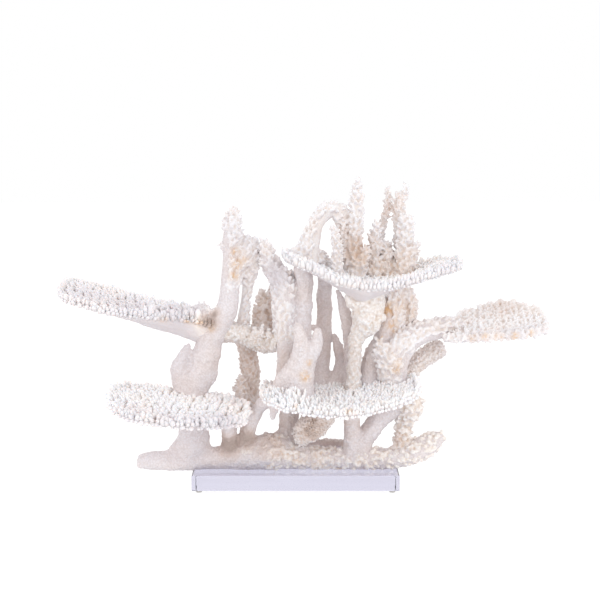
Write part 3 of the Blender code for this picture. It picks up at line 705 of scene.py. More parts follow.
# %% Stains, and places of warm and lavender painted shade
# each place: (x, y, z, size, strength)
SCARS = [
    (-103, -26, 199, 4, 0.8), (-118, -34, 206, 7, 0.6), (-130, -38, 209, 6, 0.6),
    (-73, -20, 292, 7, 0.8), (-70, -18, 278, 7, 0.8), (-75, -20, 264, 6, 0.8), (-62, -12, 283, 5, 0.5),
    (15, -70, 180, 5, 0.8), (16, -68, 164, 5, 0.8), (12, -70, 148, 6, 0.9), (113, -8, 220, 10, 0.9),
    (118, -8, 200, 9, 0.9), (123, -28, 204, 7, 0.6), (131, -32, 192, 6, 0.8), (128, -36, 160, 6, 0.9),
    (124, -32, 150, 6, 0.7), (63, -108, 116, 5, 0.6), (28, -106, 117, 4, 0.6), (0, -102, 119, 4, 0.4),
    (106, -22, 190, 6, 0.7), (126, 10, 272, 24, 0.28), (78, 4, 284, 18, 0.3), (100, 14, 268, 16, 0.25),
    (132, 2, 224, 22, 0.3), (227, -60, 194, 5, 0.8), (213, -52, 192, 5, 0.8), (244, -64, 195, 6, 0.7),
    (262, -65, 196, 5, 0.8), (282, -60, 198, 5, 0.7), (120, -34, 172, 6, 0.5), (-160, -45, 212, 5, 0.6),
    (-147, -46, 208, 5, 0.5)]
# painted warm shade where neighbours shade a limb; above strength 1 it deepens to a brown painted shade
PAINTED_WARM_SHADE_PLACES = [
    (79, 6, 296, 24, 0.9), (112, 34, 345, 26, 0.7), (128, 26, 290, 36, 0.3), (122, 2, 220, 30, 0.1),
    (110, -4, 196, 20, 0.4), (36, 26, 150, 46, 0.35), (36, 30, 220, 36, 0.4), (52, 14, 150, 38, 0.3),
    (40, 16, 45, 50, 0.9), (-58, 14, 110, 55, 0.6), (-40, 28, 206, 26, 0.9), (66, 2, 180, 50, 0.5),
    (-10, -4, 80, 34, 0.7), (75, -16, 160, 32, 0.4), (-82, -10, 60, 30, 0.4), (96, -2, 150, 26, 0.6),
    (60, 16, 300, 30, 0.5), (10, -17, 60, 26, 0.4), (-71, -10, 58, 20, 0.9), (20, -44, 80, 34, 0.6),
    (-128, -14, 66, 26, 0.45), (-90, -17, 40, 26, 0.5), (-40, -17, 60, 20, 0.5), (-61, -26, 62, 16, 2.0),
    (-10, -30, 158, 26, 0.9), (-4, -14, 250, 20, 0.55), (4, 4, 250, 14, 1.0), (-60, -24, 70, 12, 1.4),
    (-110, -26, 190, 20, 0.3), (-88, -14, 205, 16, 0.4), (-106, -27, 208, 13, 2.6), (-101, -20, 216, 8, 2.4),
    (20, -56, 78, 24, 1.5), (-54, 20, 160, 50, 0.8), (-4, -12, 266, 9, 1.5), (-8, -14, 248, 9, 1.0),
    (262, 44, 206, 30, 0.7), (-2, 0, 200, 16, 0.7), (-30, -30, 54, 24, 1.2), (14, -30, 44, 24, 0.7),
    (-82, -26, 56, 17, 2.6), (70, -34, 82, 22, 1.0), (123, -26, 60, 14, 1.0)]
# places of lavender painted shade along the plates and on some shaded limbs
PAINTED_COOL_SHADE_PLACES = [
    (-255, -30, 238, 55, 0.55), (-200, -30, 225, 50, 0.65), (-145, -30, 212, 42, 0.8),
    (-80, -8, 300, 50, 0.3), (-20, -14, 260, 24, 1.0), (222, -54, 194, 22, 0.45), (258, -60, 196, 26, 0.5),
    (288, -48, 199, 22, 0.45), (-134, -34, 52, 34, 0.65), (-190, -120, 108, 28, 0.5),
    (-150, -128, 103, 30, 0.55), (-112, -124, 100, 28, 0.65), (-84, -110, 97, 24, 0.9),
    (-8, -50, 287, 26, 0.35), (28, -66, 272, 36, 0.35), (80, -72, 256, 40, 0.35), (134, -66, 262, 38, 0.4),
    (186, -40, 276, 34, 0.5)]
print("stains", len(SCARS), "warm places", len(PAINTED_WARM_SHADE_PLACES), "cool places", len(PAINTED_COOL_SHADE_PLACES))

# %% [markdown]
# ## The worn limbs
# The log lies along the block and short columns stand on it.  Its left third is worn smooth, its
# middle is granular, and its right end is covered with round knobs.  In the shade behind the
# front plate stand more columns of the same worn kind.  All of them flow into one skin.

# %% Lines of the log and its columns
WORN = {
    # name: the limb's line, then its short side branches, as (x, y, z, radius) in millimetres
    "trunk_log": [[
        (-195.5, -17, 31, 8.5), (-184, -17, 31, 10.5), (-169, -17, 31.5, 12), (-142, -17, 32.5, 14),
        (-109, -17, 34, 13.5), (-76, -17, 37, 17), (-47, -17, 42, 21), (-23, -17, 43.5, 22.5),
        (-2, -17, 39, 17.5), (24, -17, 35.5, 14), (61, -17, 33.5, 12.5), (99, -17, 33.5, 13),
        (127, -17, 36, 13), (150, -18, 45, 14), (167, -19, 54, 12.5), (178, -20, 62, 8)]],
    "left_column": [[
        (-131, -17, 42, 17), (-127, -17, 57, 19.5), (-128, -16, 77, 17.5), (-130, -14, 101, 17.5),
        (-127, -12, 122, 18.5), (-117, -10, 143, 20), (-112, -9, 159, 18), (-108, -8, 176, 16.5),
        (-103, -8, 194, 16)],
        [(-125, -17, 66, 13), (-139, -17, 54, 11), (-150, -17, 45, 8)],
        [(-122, -17, 60, 10), (-112, -17, 46, 9)]],
    "left_stub": [[
        (-133, -14, 104, 11), (-143, -16, 131, 10), (-144.5, -16, 147, 10), (-141, -16, 158, 8.5),
        (-137, -16, 168, 6.5), (-132, -16, 177, 3)]],
    "middle_column": [[
        (70, -17, 40, 12), (70, -19, 52, 11), (70, -24, 68, 10.5), (69, -34, 90, 10.5), (69, -42, 108, 13)]],
    "diagonal_brace": [[
        (76, -15, 40, 13), (86, -15, 59, 12), (96, -16, 75, 12.5), (110, -18, 90, 12.5),
        (129, -22, 102, 10.5), (138, -26, 114, 12)]],
    "back_column": [[(-12, -10, 46, 14), (-10, -6, 62, 12), (-8, -6, 85, 12), (-8, -10, 106, 14)],
                    [(-8, -10, 74, 9), (-20, -12, 60, 8), (-30, -14, 52, 6)]],
    "left_prop": [[(-82, -17, 38, 10.5), (-82, -22, 60, 9.5), (-82, -33, 82, 9.8), (-82, -42, 98, 13)]],
    "low_rear_bar": [[(-6, 4, 40, 8), (4, 17, 45, 6), (33, 20, 45, 5.5), (58, 16, 45, 6), (69, -4, 46, 7)]],
    "link_arm": [[
        (-60.5, -17, 44, 10), (-60.5, -18, 60, 9.8), (-58, -22, 76, 9), (-49, -30, 95, 8.5),
        (-36, -42, 111, 8), (-19, -50, 117, 9)],
        [(-22, -50, 116, 7), (-26, -52, 104, 6), (-28, -54, 94, 3.5)]],
    "centre_column": [[
        (7, -26, 150, 9), (8, -12, 172, 11), (9, -8, 197, 10.5), (11, -8, 232, 10), (11, -10, 256, 10.5),
        (8, -14, 272, 11)]],
    "shaded_column": [[
        (31, -6, 104, 15), (31, 6, 118, 13.5), (32, 16, 134, 11), (34, 22, 154, 9.5), (36, 26, 176, 9),
        (36, 26, 208, 9.5), (36, 20, 240, 9.5), (37, 8, 262, 9.5)],
        [(37, 26, 186, 7), (27, 24, 191, 5), (16, 22, 195, 2.5)]],
    "back_fork": [[
        (43, -6, 106, 13), (48, 4, 120, 12.5), (55, 12, 137, 10), (57, 16, 153, 7.3), (54, 17, 167, 6.3),
        (49, 18, 183, 3.5)]],
    "thin_spire": [[
        (70, -8, 112, 12), (68, -2, 135, 10), (68, 0, 158, 7.5), (67, 2, 177, 7.5), (64, 2, 203, 7.5),
        (58, 2, 226, 6.5), (52, 2, 242, 3)]],
    "right_brace": [[
        (88, -10, 116, 14), (92, -4, 141, 13), (97, -4, 161, 12.5), (105, -4, 177, 11.5), (112, -4, 192, 11),
        (115, -2, 208, 10), (114, 0, 226, 10)]],
    "front_slab": [[
        (5, -62, 112, 16), (7, -58, 134, 15), (8, -56, 155, 14), (8, -54, 174, 12), (6, -54, 191, 9),
        (3, -54, 207, 5)], [(14, -55, 158, 9.5), (20, -53, 174, 9), (25, -52, 187, 8), (27, -52, 200, 5)],
        [(4, -57, 166, 9), (-5, -55, 149, 12), (-13, -53, 137, 12.5), (-18, -52, 124, 12)]],
    "left_finger": [[
        (-104, -8, 188, 17), (-93, -8, 207, 16), (-84, -8, 225, 13.5), (-81, -8, 244, 12),
        (-80, -8, 262, 11.5), (-80.5, -8, 279, 10), (-80, -8, 312, 9.5), (-79, -8, 332, 8),
        (-76, -8, 343, 4)],
        [(-100, -6, 198, 13), (-111, -4, 209, 13), (-118, -2, 220, 8)]],
    "main_crown": [[
        (-14, -30, 112, 14), (-10, -22, 141, 14), (-10, -14, 168, 13.5), (-12, -8, 194, 13),
        (-16, -5, 219, 12), (-17, -4, 240, 10.5), (-21, -4, 258, 10.5), (-30, -4, 276, 10),
        (-36, -4, 290, 8), (-38, -4, 300, 5)],
        [(-12, -8, 220, 10), (-9, -11, 246, 8), (-12, -12, 262, 5), (-16, -12, 270, 3)],
        [(-8, -4, 196, 11), (-1, 0, 222, 10.5), (-1, 2, 246, 9.5), (-2, 4, 262, 5)]],
    "right_arm": [[
        (122, -14, 124, 18), (121, -14, 147, 17.5), (127, -12, 165, 16.5), (135, -10, 178, 16),
        (146, -8, 187, 15), (161, -6, 192, 13), (179, -4, 196, 11.5), (204, -2, 197, 9)],
        [(118, -16, 150, 14), (108, -18, 168, 10), (104, -18, 180, 5)]],
}

# %% [markdown]
# The skin of the worn limbs is one mesh.  After fusing, its points are moved along their outward
# directions by slow lumps and by fine bumps, which are stronger in the granular places.  The
# pointed tips of the broken slab are a piece of their own, because such a soft skin would round them.

# %% The worn skin
GRANULAR_PLACES = [
    (-45, -17, 40, 62, 1.0), (30, -17, 36, 60, 1.0), (110, -17, 36, 60, 0.8), (-110, -12, 150, 34, 0.8),
    (10, -8, 230, 50, 0.8), (62, 2, 180, 46, 0.9), (10, -56, 150, 46, 0.9)]


def make_worn_skin():
    """Fuses the worn limbs, then moves each point out by lumps + (0.35 + 0.65 * granular) * bumps in mm."""
    tubes = Pile()
    for name, lines in WORN.items():
        for index, line in enumerate(lines):
            tube(tubes, line, "plain", seed_of(name, index))
    points, normals, quads = fuse(tubes, voxel=2.15, rounds=6)
    granular = soft_spots(points, GRANULAR_PLACES)
    bumps = 0.6 * ripple(points, 5.5, 71) + 0.6 * ripple(points, 4.0, 72) + 0.5 * ripple(points, 9.0, 73)
    lumps = 0.5 * ripple(points, 24.0, 74)
    # sunken bumps take more of the crevice colour, a painted shade in the dips
    grown_and_lit = np.clip(0.7 + 0.22 * bumps * (0.3 + granular), 0, 1)
    pile = Pile()
    pile.add(points + normals * (lumps + (0.35 + 0.65 * granular) * bumps)[:, None], quads, NO_FANS, grown_and_lit)
    make_piece("worn_limbs_coral", pile, "smooth", "coral_smooth", *WORN)


make_worn_skin()
melt("slab_tips_coral", {"front_slab": [
    ([(8, -55, 168, 11), (4, -57, 195, 7), (0, -58, 212, 1.2)],),
    ([(20, -54, 172, 9), (26, -54, 190, 6.5), (30, -54, 205, 1.5)],),
    ([(-2, -58, 140, 10), (2, -60, 158, 7), (5, -60, 176, 2)],)]},
    "smooth", "coral_smooth", skin="broken", relief=0.4, tip=0.6)

# %% [markdown]
# ## The knobs of the log, and the supports
# The log's middle wears soft grains and its right end round balls.  Between the log and the front
# plates stand a knobby column and lump at the right, and a broken stub hangs under the front plate.

# %% Log knobs and supports
melt("log_knobs_coral", {"trunk_log": [(
    WORN["trunk_log"][0], wears("grains", start=0.34, end=0.64), wears("balls", start=0.58),
    wears("balls", start=0.42, end=0.6, facing=(0.1, -0.7, 0.2, 0.2)))]},
    "knobby", "coral_knobby", voxel=1.35, shrink=1.7)
melt("knobby_supports_coral", {
    "knobby_column": [([(130, -16, 36, 11), (133, -15, 58, 10), (134, -17, 80, 9.5), (135, -20, 98, 10),
                        (136, -24, 112, 11)], wears("balls"))],
    "corner_lump": [([(132, -30, 114, 11), (138, -32, 118, 12), (143, -33, 111, 12), (142, -32, 97, 11),
                      (140, -30, 86, 6)], wears("balls"))]},
    "knobby", "coral_knobby")
melt("hanging_stub_coral", {"hanging_stub": [
    ([(48, -52, 112, 11), (40, -50, 103, 13), (29, -45, 90, 16), (17, -40, 78, 17), (9, -37, 68, 13),
      (7, -36, 60, 9)], wears("crumbs")),
    ([(20, -50, 92, 9), (10, -54, 86, 8), (4, -54, 80, 5)],), ([(24, -48, 78, 9), (18, -52, 68, 6)],)]},
    "granular", "coral_broken", skin="broken", relief=1.4, tip=0.3)
melt("right_stub_coral", {"right_stub": [
    ([(126, -4, 124, 10), (135, 4, 133, 10.5), (146, 9, 143, 11), (158, 13, 154, 11.5), (171, 17, 162.5, 12),
      (185, 20, 168, 11.5)], wears("grains", end=0.96)),
    ([(168, 17, 160, 9.5), (174, 18, 168, 6.5), (177, 18, 174, 3)],)]},
    "granular", "coral_broken", skin="granular", relief=0.8, tip=0.1)
melt("right_arm_coral", {"right_arm": [
    (WORN["right_arm"][0], wears("nubs", start=0.34, end=0.98, facing=(0, -0.5, 1, 0.1)),
     wears("fine nubs", start=0.05, end=0.5, facing=(-1, -0.6, 0.4, 0.0))),
    (WORN["right_arm"][1], wears("nubs", facing=(-0.5, -1, 0.3, -0.2)))]},
    "finger", "coral_granular", voxel=1.35, shrink=0.6)

# %% [markdown]
# ## The left side
# A tall finger rises from the fork, smooth below and set with nubs above.  Behind it are a shaded
# branch, a broken bridge and two slim crowns.

# %% Left side
melt("left_crowns_coral", {
    "left_finger": [
        (WORN["left_finger"][0], wears("nubs", start=0.42, facing=(1, -0.3, 0.1, 0.05)),
         wears("fine nubs", start=0.84), wears("crumbs", start=0.2, end=0.5, facing=(1, -0.4, 0, 0.1))),
        ([(-80, -9, 306, 8), (-73, -9, 318, 6.5), (-70.5, -9, 331, 3.5)], wears("nubs")),
        ([(-83, -9, 297, 6), (-89, -10, 300, 4)], wears("fine nubs")),
        (WORN["left_finger"][1], wears("fine nubs", start=0.3))],
    "slim_crown": [
        ([(-70, 6, 184, 10), (-66, 10, 207, 7.5), (-64, 10, 225, 6.5), (-61, 8, 246, 6.5), (-57, 6, 265, 8),
          (-53, 4, 282, 8.5), (-52, 4, 294, 7.5), (-53, 4, 303, 5)],
         wears("nubs", start=0.55), wears("fine nubs", start=0.1, end=0.56, facing=(1, 0, 0, -0.3)))],
    "crown_lobe": [([(-76, -7, 268, 7.5), (-68, -5, 281, 9), (-65, -3, 294, 8.5), (-63, -2, 306, 5)],
                    wears("nubs"))]}, "finger", "coral_finger")
melt("left_rear_coral", {
    "rear_branch": [
        ([(-60, -4, 30, 10), (-62, 0, 48, 10), (-60, 4, 68, 9), (-55, 10, 87, 7.5), (-53, 16, 104, 7),
          (-54, 20, 118, 8), (-56, 22, 133, 11), (-59, 24, 148, 11.5), (-62, 24, 164, 10.5),
          (-66, 20, 180, 11.5), (-76, 10, 192, 11.5)], wears("fine nubs", start=0.2)),
        ([(-54, 14, 93, 7), (-63, 6, 105, 10), (-69, 2, 119, 9), (-68, 2, 131, 5)], wears("fine nubs"))],
    "rear_spur": [
        ([(-48, 14, 178, 11), (-43, 24, 190, 13), (-40, 28, 205, 13), (-41, 28, 219, 10), (-43, 27, 236, 4)],
         wears("nubs")),
        ([(-38, 26, 212, 7), (-34, 24, 227, 5), (-31, 22, 239, 3)], wears("nubs"))]},
    "granular", "coral_granular", voxel=1.35, shrink=2.2)
melt("left_bridge_coral", {"left_bridge": [
    ([(-96, -6, 194, 13.5), (-82, -3, 191, 13), (-68, 0, 189, 12), (-52, 2, 181, 12.5), (-37, 0, 176, 12),
      (-16, -8, 184, 12.5)], wears("crumbs")),
    ([(-53, -4, 180, 6), (-50, -10, 192, 4.5), (-51, -11, 198, 2)], wears("crumbs")),
    ([(-45, -6, 178, 6), (-43, -13, 190, 4.5), (-41, -13, 201, 2)], wears("crumbs")),
    ([(-38, -6, 178, 7), (-34, -12, 188, 4.5), (-33, -12, 195, 2)], wears("crumbs"))]},
    "broken", "coral_broken", skin="broken", relief=0.8)

# %% [markdown]
# ## The centre
# The main crown leans left out of the front plate, and a stem with a broken head carries the bowl.

# %% Centre
melt("main_crown_coral", {"main_crown": [
    (WORN["main_crown"][0], wears("nubs", start=0.64), wears("fine nubs", start=0.36, end=0.66),
     wears("crumbs", start=0.05, end=0.4)),
    (WORN["main_crown"][1], wears("nubs", start=0.3)),
    (WORN["main_crown"][2], wears("fine nubs", start=0.2))]}, "finger", "coral_finger", shrink=0.8)
melt("upper_stem_coral", {"upper_stem": [
    ([(72, -24, 110, 13), (72, -22, 144, 10), (73, -20, 167, 9.5), (74, -20, 184, 10), (79, -20, 195, 13),
      (86, -20, 204, 17.5), (89, -20, 222, 20), (90, -18, 246, 21)], wears("crumbs", start=0.5)),
    ([(80, -24, 226, 9), (70, -26, 230, 8), (64, -26, 238, 5.5)],),
    ([(96, -24, 218, 9), (106, -26, 212, 6.5)],), ([(84, -28, 206, 8), (80, -32, 199, 5)],)]},
    "broken", "coral_broken", skin="broken", voxel=1.4, relief=0.5, tip=0.1)

# %% [markdown]
# ## The fingers in the bowl
# These are young growth: every one is a thin core covered by nubs that lean towards the tip.

# %% Fingers
melt("bowl_fingers_coral", {
    "rear_stem": [
        ([(126, -6, 176, 10), (126, 0, 192, 10.5), (124, 2, 206, 12.5), (122, 2, 220, 13.5),
          (119, 4, 234, 14), (118, 6, 250, 14)], wears("fine nubs")),
        ([(134, 0, 180, 7), (141, 5, 198, 7), (144, 8, 216, 7), (142, 8, 232, 8), (132, 8, 246, 9)],
         wears("fine nubs"))],
    "hooked_finger": [
        ([(15, -6, 268, 13), (16, -2, 292, 14), (22, 4, 311, 10.5), (27, 8, 327, 9.5), (36, 12, 338, 10.5),
          (46, 14, 342, 10.5), (57, 16, 335, 9.5), (62, 16, 316, 7.5), (66, 14, 294, 8), (70, 12, 272, 8.5),
          (73, 8, 252, 8.5)], wears("nubs", end=0.5, facing=(-1, -0.2, 0.5, -0.1)), wears("nubs", start=0.5)),
        ([(-6, -8, 289, 7), (6, -3, 289, 9.5), (18, 2, 286, 10.5), (29, 4, 283, 9), (38, 4, 273, 6)],
         wears("fine nubs"))],
    "tallest_finger": [
        ([(82, 4, 244, 9), (77, 8, 270, 8), (74, 10, 292, 8), (73, 10, 310, 8), (75, 10, 329, 8),
          (75, 10, 348, 7.5), (75, 10, 365, 5.5), (77, 10, 377, 2.5)], wears("nubs")),
        ([(79, 5, 266, 6), (84, 2, 280, 5), (87, 2, 293, 3.5)], wears("nubs"))],
    "small_finger": [([(52, -12, 258, 7), (50, -12, 281, 6), (52, -12, 296, 5.5), (49, -12, 310, 5),
                       (47, -12, 320, 3)], wears("fine nubs"))],
    "forked_finger": [
        ([(132, 20, 248, 9), (132, 26, 275, 7), (131, 28, 300, 6), (130, 30, 325, 6), (128, 30, 345, 5.5),
          (128, 30, 358, 3)], wears("nubs")),
        ([(128, 29, 332, 5), (132, 27, 352, 4.5), (137, 26, 366, 3.5), (137, 26, 370, 2)],
         wears("fine nubs")),
        ([(119, 18, 250, 9), (116, 20, 275, 8), (113, 22, 298, 5)], wears("fine nubs"))],
    "dark_finger": [([(103, 28, 252, 8), (103, 34, 278, 6.5), (105, 36, 303, 5), (110, 35, 325, 4.2),
                      (114, 34, 342, 4), (115, 34, 355, 3.6), (115, 34, 365, 2.5)], wears("fine nubs"))],
    "low_finger": [([(102, 12, 244, 9), (99, 16, 270, 7), (98, 18, 291, 6.5), (99, 18, 309, 6),
                     (101, 18, 321, 3.5)], wears("nubs"))],
    "right_finger": [
        ([(136, 6, 252, 10), (136, 10, 277, 10.5), (136, 12, 297, 9), (135, 12, 314, 6.5), (134, 12, 330, 4)],
         wears("nubs")),
        ([(137, 9, 300, 6), (142, 8, 320, 4.5), (143, 8, 331, 3)], wears("fine nubs")),
        ([(137, 8, 268, 8), (145, 4, 288, 5.5), (150, 4, 299, 3)], wears("fine nubs"))]},
    "finger", "coral_finger", voxel=1.12)

# %% [markdown]
# ## The table plates
# A table coral grows as a thin leaf on a stem.  The leaf is one closed section carried along its
# middle line, and a keel thickens its underside where the stem meets it.

# %% The leaf
LEAF_STEP = 3.0
LEAF_AROUND = 56
LEAF_DOME = 0.25
LEAF_DOME_RINGS = 10
RIM_MM = 4.0
MIDDLE_MM = 9.0


def leaf_height(t, depth, widest, slope, dish):
    """The upper side across the leaf: slope * y + dish * (y / widest) squared, where y is t * depth."""
    return slope * t * depth + dish * (t * depth / widest)**2


def leaf(pile, stations, tilt, dish, keel, seed):
    """A closed leaf: its middle line from the stations (x, y, z, half depth, keel share).

    Across it t = cos(v).  The upper side is leaf_height; the underside lies below it by RIM_MM +
    (MIDDLE_MM - RIM_MM + keel * share) * (1 - |t|) to the 0.7; both meet at the rim in a round nose
    of RIM_MM / 2 * (1 - root(1 - |t| to the 6)).  A dome closes each end.
    """
    line = follow([station[:4] for station in stations], LEAF_STEP)
    share = np.interp(line[:, 0], *zip(*sorted((s[0], s[4]) for s in stations)))
    widest = line[:, 3].max()
    slope = math.tan(math.radians(tilt))
    middle = line[:, :3]
    depth = line[:, 3] * (1 + 0.03 * ripple(middle, 22.0, seed))
    ways = unit(np.gradient(middle, axis=0))
    path, size, ends = domed(middle, ways, depth, LEAF_DOME, LEAF_DOME, LEAF_DOME_RINGS)
    half = held(depth, LEAF_DOME_RINGS)
    shares = held(share, LEAF_DOME_RINGS)
    v = 2 * np.pi * np.arange(LEAF_AROUND) / LEAF_AROUND
    t = np.cos(v)[None, :]
    top = leaf_height(t, half[:, None], widest, slope, dish)
    under = RIM_MM + (MIDDLE_MM - RIM_MM + keel * shares[:, None]) * (1 - np.abs(t))**0.7
    nose = RIM_MM / 2 * (1 - np.sqrt(np.maximum(1 - np.abs(t)**6, 0)))
    height = np.where(np.sin(v)[None, :] >= 0, top - nose, top - under + nose)
    offset = np.stack([np.zeros_like(height), np.broadcast_to(t * half[:, None], height.shape), height], -1)
    grid = path[:, None] + size[:, None, None] * offset
    grid = grid + np.array([0, 0, 1.0]) * (0.5 * ripple(grid, 9.0, seed + 1) * size[:, None])[..., None]
    quads, fans = ring_faces(len(path), LEAF_AROUND)
    if middle[-1, 0] < middle[0, 0]:
        quads, fans = quads[:, ::-1], fans[:, ::-1]
    upper = np.broadcast_to(np.sin(v)[None, :] > 0.05, height.shape)
    streaks = ripple(grid * (0.15, 1.0, 1.0), 4.0, seed + 2)
    # the upper side under the lawn takes much of the crevice colour, partly painted shade
    growth_and_shade = np.concatenate([np.where(upper, 0.2, 0.6 + 0.3 * streaks).ravel(), [0.3, 0.3]])
    pile.add(np.concatenate([grid.reshape(-1, 3), ends]), quads, fans, growth_and_shade)
    rim = np.concatenate([grid[:, 0], grid[::-1, LEAF_AROUND // 2]])
    return path, half * size, (widest, slope, dish), rim


# %% [markdown]
# The upper side carries a lawn of branchlets.  They are the same pegs as before, spread by a
# sequence that never falls into rows.

# %% The lawn
ALONG_TURN, ACROSS_TURN = 0.7548777, 0.5698403
BLADE_BEND = 0.16
SUNK_MM = 0.8


def lawn(pile, path, half_depth, shape, seed, bare, width, length, gap, lean, tilt_x=0.0, tall=()):
    """Branchlets over the upper side, at steps of two unrelated fractions along and across the leaf.

    They lean outwards by lean * t * |t|, and along X by the tilt.  None grow in the bare rings
    (x, y, radius); the soft balls of tall add to their length.
    """
    chance = np.random.default_rng(seed)
    along = running(step_lengths(path))
    area = running(np.diff(along) * (half_depth[1:] + half_depth[:-1]))
    count = int(area[-1] / gap**2)
    index = np.arange(count)
    at = np.interp((index * ALONG_TURN + 0.3) % 1.0 * area[-1], area, along)
    t = 1.94 * ((index * ACROSS_TURN + 0.1) % 1.0) - 0.97
    half = np.interp(at, along, half_depth)
    spread = np.interp(at, along, np.gradient(half_depth, along))
    heading = np.sign(path[-1, 0] - path[0, 0])
    spots = read_at(at, along, path) + np.stack([
        chance.uniform(-0.25, 0.25, count) * gap, t * half, leaf_height(t, half, *shape) - SUNK_MM], 1)
    ways = np.stack([-0.5 * heading * np.clip(spread, -1, 1) + tilt_x + chance.uniform(-0.16, 0.16, count),
                     lean * t * np.abs(t) + chance.uniform(-0.16, 0.16, count), np.ones(count)], 1)
    kept = np.ones(count, bool)
    for x, y, radius in bare:
        kept &= np.hypot(spots[:, 0] - x, spots[:, 1] - y) > radius
    spots, ways = spots[kept], unit(ways[kept])
    size = chance.uniform(0.72, 1.2, (2, len(spots)))
    lengths = length * size[1] * (1 - 0.2 * np.abs(t[kept])) + soft_spots(spots, tall)
    knobs(pile, spots, ways, width * size[0], lengths, seed + 3, bend=BLADE_BEND)


# %% [markdown]
# Rows of longer branchlets stand round the rim, where a table coral grows fastest.

# %% The rim
LOOK_MM = 6


def add_buds(pile, spots, ways, widths, lengths, seed):
    """A small round side bud on each branchlet, which makes a rim lumpy."""
    chance = np.random.default_rng(seed)
    side = unit(np.cross(ways, chance.normal(size=(len(spots), 3))))
    rise = chance.uniform(0.35, 0.9, len(spots)) * lengths
    bud_spots = spots + ways * rise[:, None] + side * widths[:, None] * 0.55
    knobs(pile, bud_spots, side + ways * 0.9, widths * 0.7, widths * 1.7, seed + 4, GRAIN, 6)


def fringe(pile, rim, seed, width, length, gap, rise, drop=0.0, inset=1.5, buds=False, front=None):
    """A row of branchlets round the rim that point outwards and up by the rise.

    Outwards is square to the line between the rim LOOK_MM before and after the spot.  A front of
    (x, x) keeps only those of the viewer's side between two places along X.
    """
    chance = np.random.default_rng(seed)
    closed = np.concatenate([rim, rim[:1]])
    along = running(step_lengths(closed))
    count = int(along[-1] / gap)
    at = (np.arange(count) + chance.uniform(-0.3, 0.3, count)) * along[-1] / count % along[-1]
    spot = read_at(at, along, closed)
    ahead = (read_at((at + LOOK_MM) % along[-1], along, closed)
             - read_at((at - LOOK_MM) % along[-1], along, closed))
    out = unit(np.cross(ahead, (0, 0, 1.0)))
    centre = rim.mean(0)
    out *= np.sign(((spot - centre) * out).sum(1).mean())
    ways = unit(out + np.array([0, 0, rise]) + chance.uniform(-0.22, 0.22, (count, 3)))
    size = chance.uniform(0.72, 1.25, (2, count))
    spots = spot - out * inset - np.array([0, 0, drop])
    if front:
        kept = (spots[:, 0] > front[0]) & (spots[:, 0] < front[1]) & (spots[:, 1] < centre[1])
        spots, ways, size = spots[kept], ways[kept], size[:, kept]
    widths, lengths = width * size[0], length * size[1]
    knobs(pile, spots, ways, widths, lengths, seed + 1, bend=BLADE_BEND)
    if buds:
        add_buds(pile, spots, ways, widths, lengths, seed + 2)


# %% [markdown]
# Each plate has its own kind of lawn: thick branchlets that lean outwards on the left front plate,
# finer upright ones on the right front plate, a row of long ones near the front edge of the upper
# left plate, a rim of upright teeth on the bowl, and soft lumps on the right plate.  Where a voxel
# is given, the lawn is fused with its leaf; elsewhere the branchlets stay apart, and light passes
# through their thin chalk, so that the gaps between them are warm and not dark.


# %% Plates
def plate(name, stations, tilt, dish, keel, branchlets, rows, bare, voxel=0.0):
    """One plate: its leaf, its lawn, and the rows round its rim, fused where a voxel is given."""
    pile = Pile()
    seed = seed_of(name)
    *surface, rim = leaf(pile, stations, tilt, dish, keel, seed)
    lawn(pile, *surface, seed + 10, bare, **branchlets)
    for index, row in enumerate(rows):
        fringe(pile, rim, seed + 20 + 7 * index, **row)
    if voxel:
        make_piece(name + "_coral", melted(pile, voxel), "plate", "coral_plate", name)
    else:
        make_piece(name + "_coral", pile, "teeth", "coral_plate", name)


plate("front_left_plate", [
    (-214, -64, 121, 37, 0), (-199, -68, 117, 52, 0.2), (-163, -72, 111, 57, 0.7),
    (-127, -72, 107, 56, 1), (-96, -68, 105, 50, 0.7), (-68, -61, 102, 33, 0.2)],
    tilt=6.5, dish=3, keel=5, branchlets=dict(width=3.3, length=8.0, gap=5.9, lean=0.7),
    rows=[dict(width=3.3, length=9.5, gap=5.9, rise=2.0),
          dict(width=3.3, length=9.0, gap=5.9, rise=0.8, drop=1.8),
          dict(width=3.0, length=6.0, gap=5.9, rise=-0.2, drop=3.0)],
    bare=[(-129, -12, 17)])
plate("front_plate", [
    (-33, -48, 124, 28, 0), (-7, -55, 120.5, 45, 0.4), (30, -59, 115.5, 44, 1), (62, -58, 116, 51, 1),
    (92, -55, 120, 51, 0.8), (122, -48, 125.5, 44, 0.5), (142, -42, 129.5, 31, 0.2)],
    tilt=8, dish=2, keel=8, branchlets=dict(width=2.2, length=8.0, gap=4.5, lean=0.2,
                                            tall=[(2, -78, 118, 16, 15), (-20, -68, 121, 14, 11)]),
    rows=[dict(width=2.4, length=9.0, gap=4.7, rise=3.5, inset=3.0),
          dict(width=2.4, length=7.5, gap=4.7, rise=1.2, drop=1.0),
          dict(width=2.4, length=4.5, gap=4.8, rise=-0.1, drop=2.6)],
    bare=[(-15, -30, 14), (5, -60, 12), (-12, -53, 9), (31, -2, 14), (70, -14, 14), (88, -8, 12),
          (126, -10, 19)])
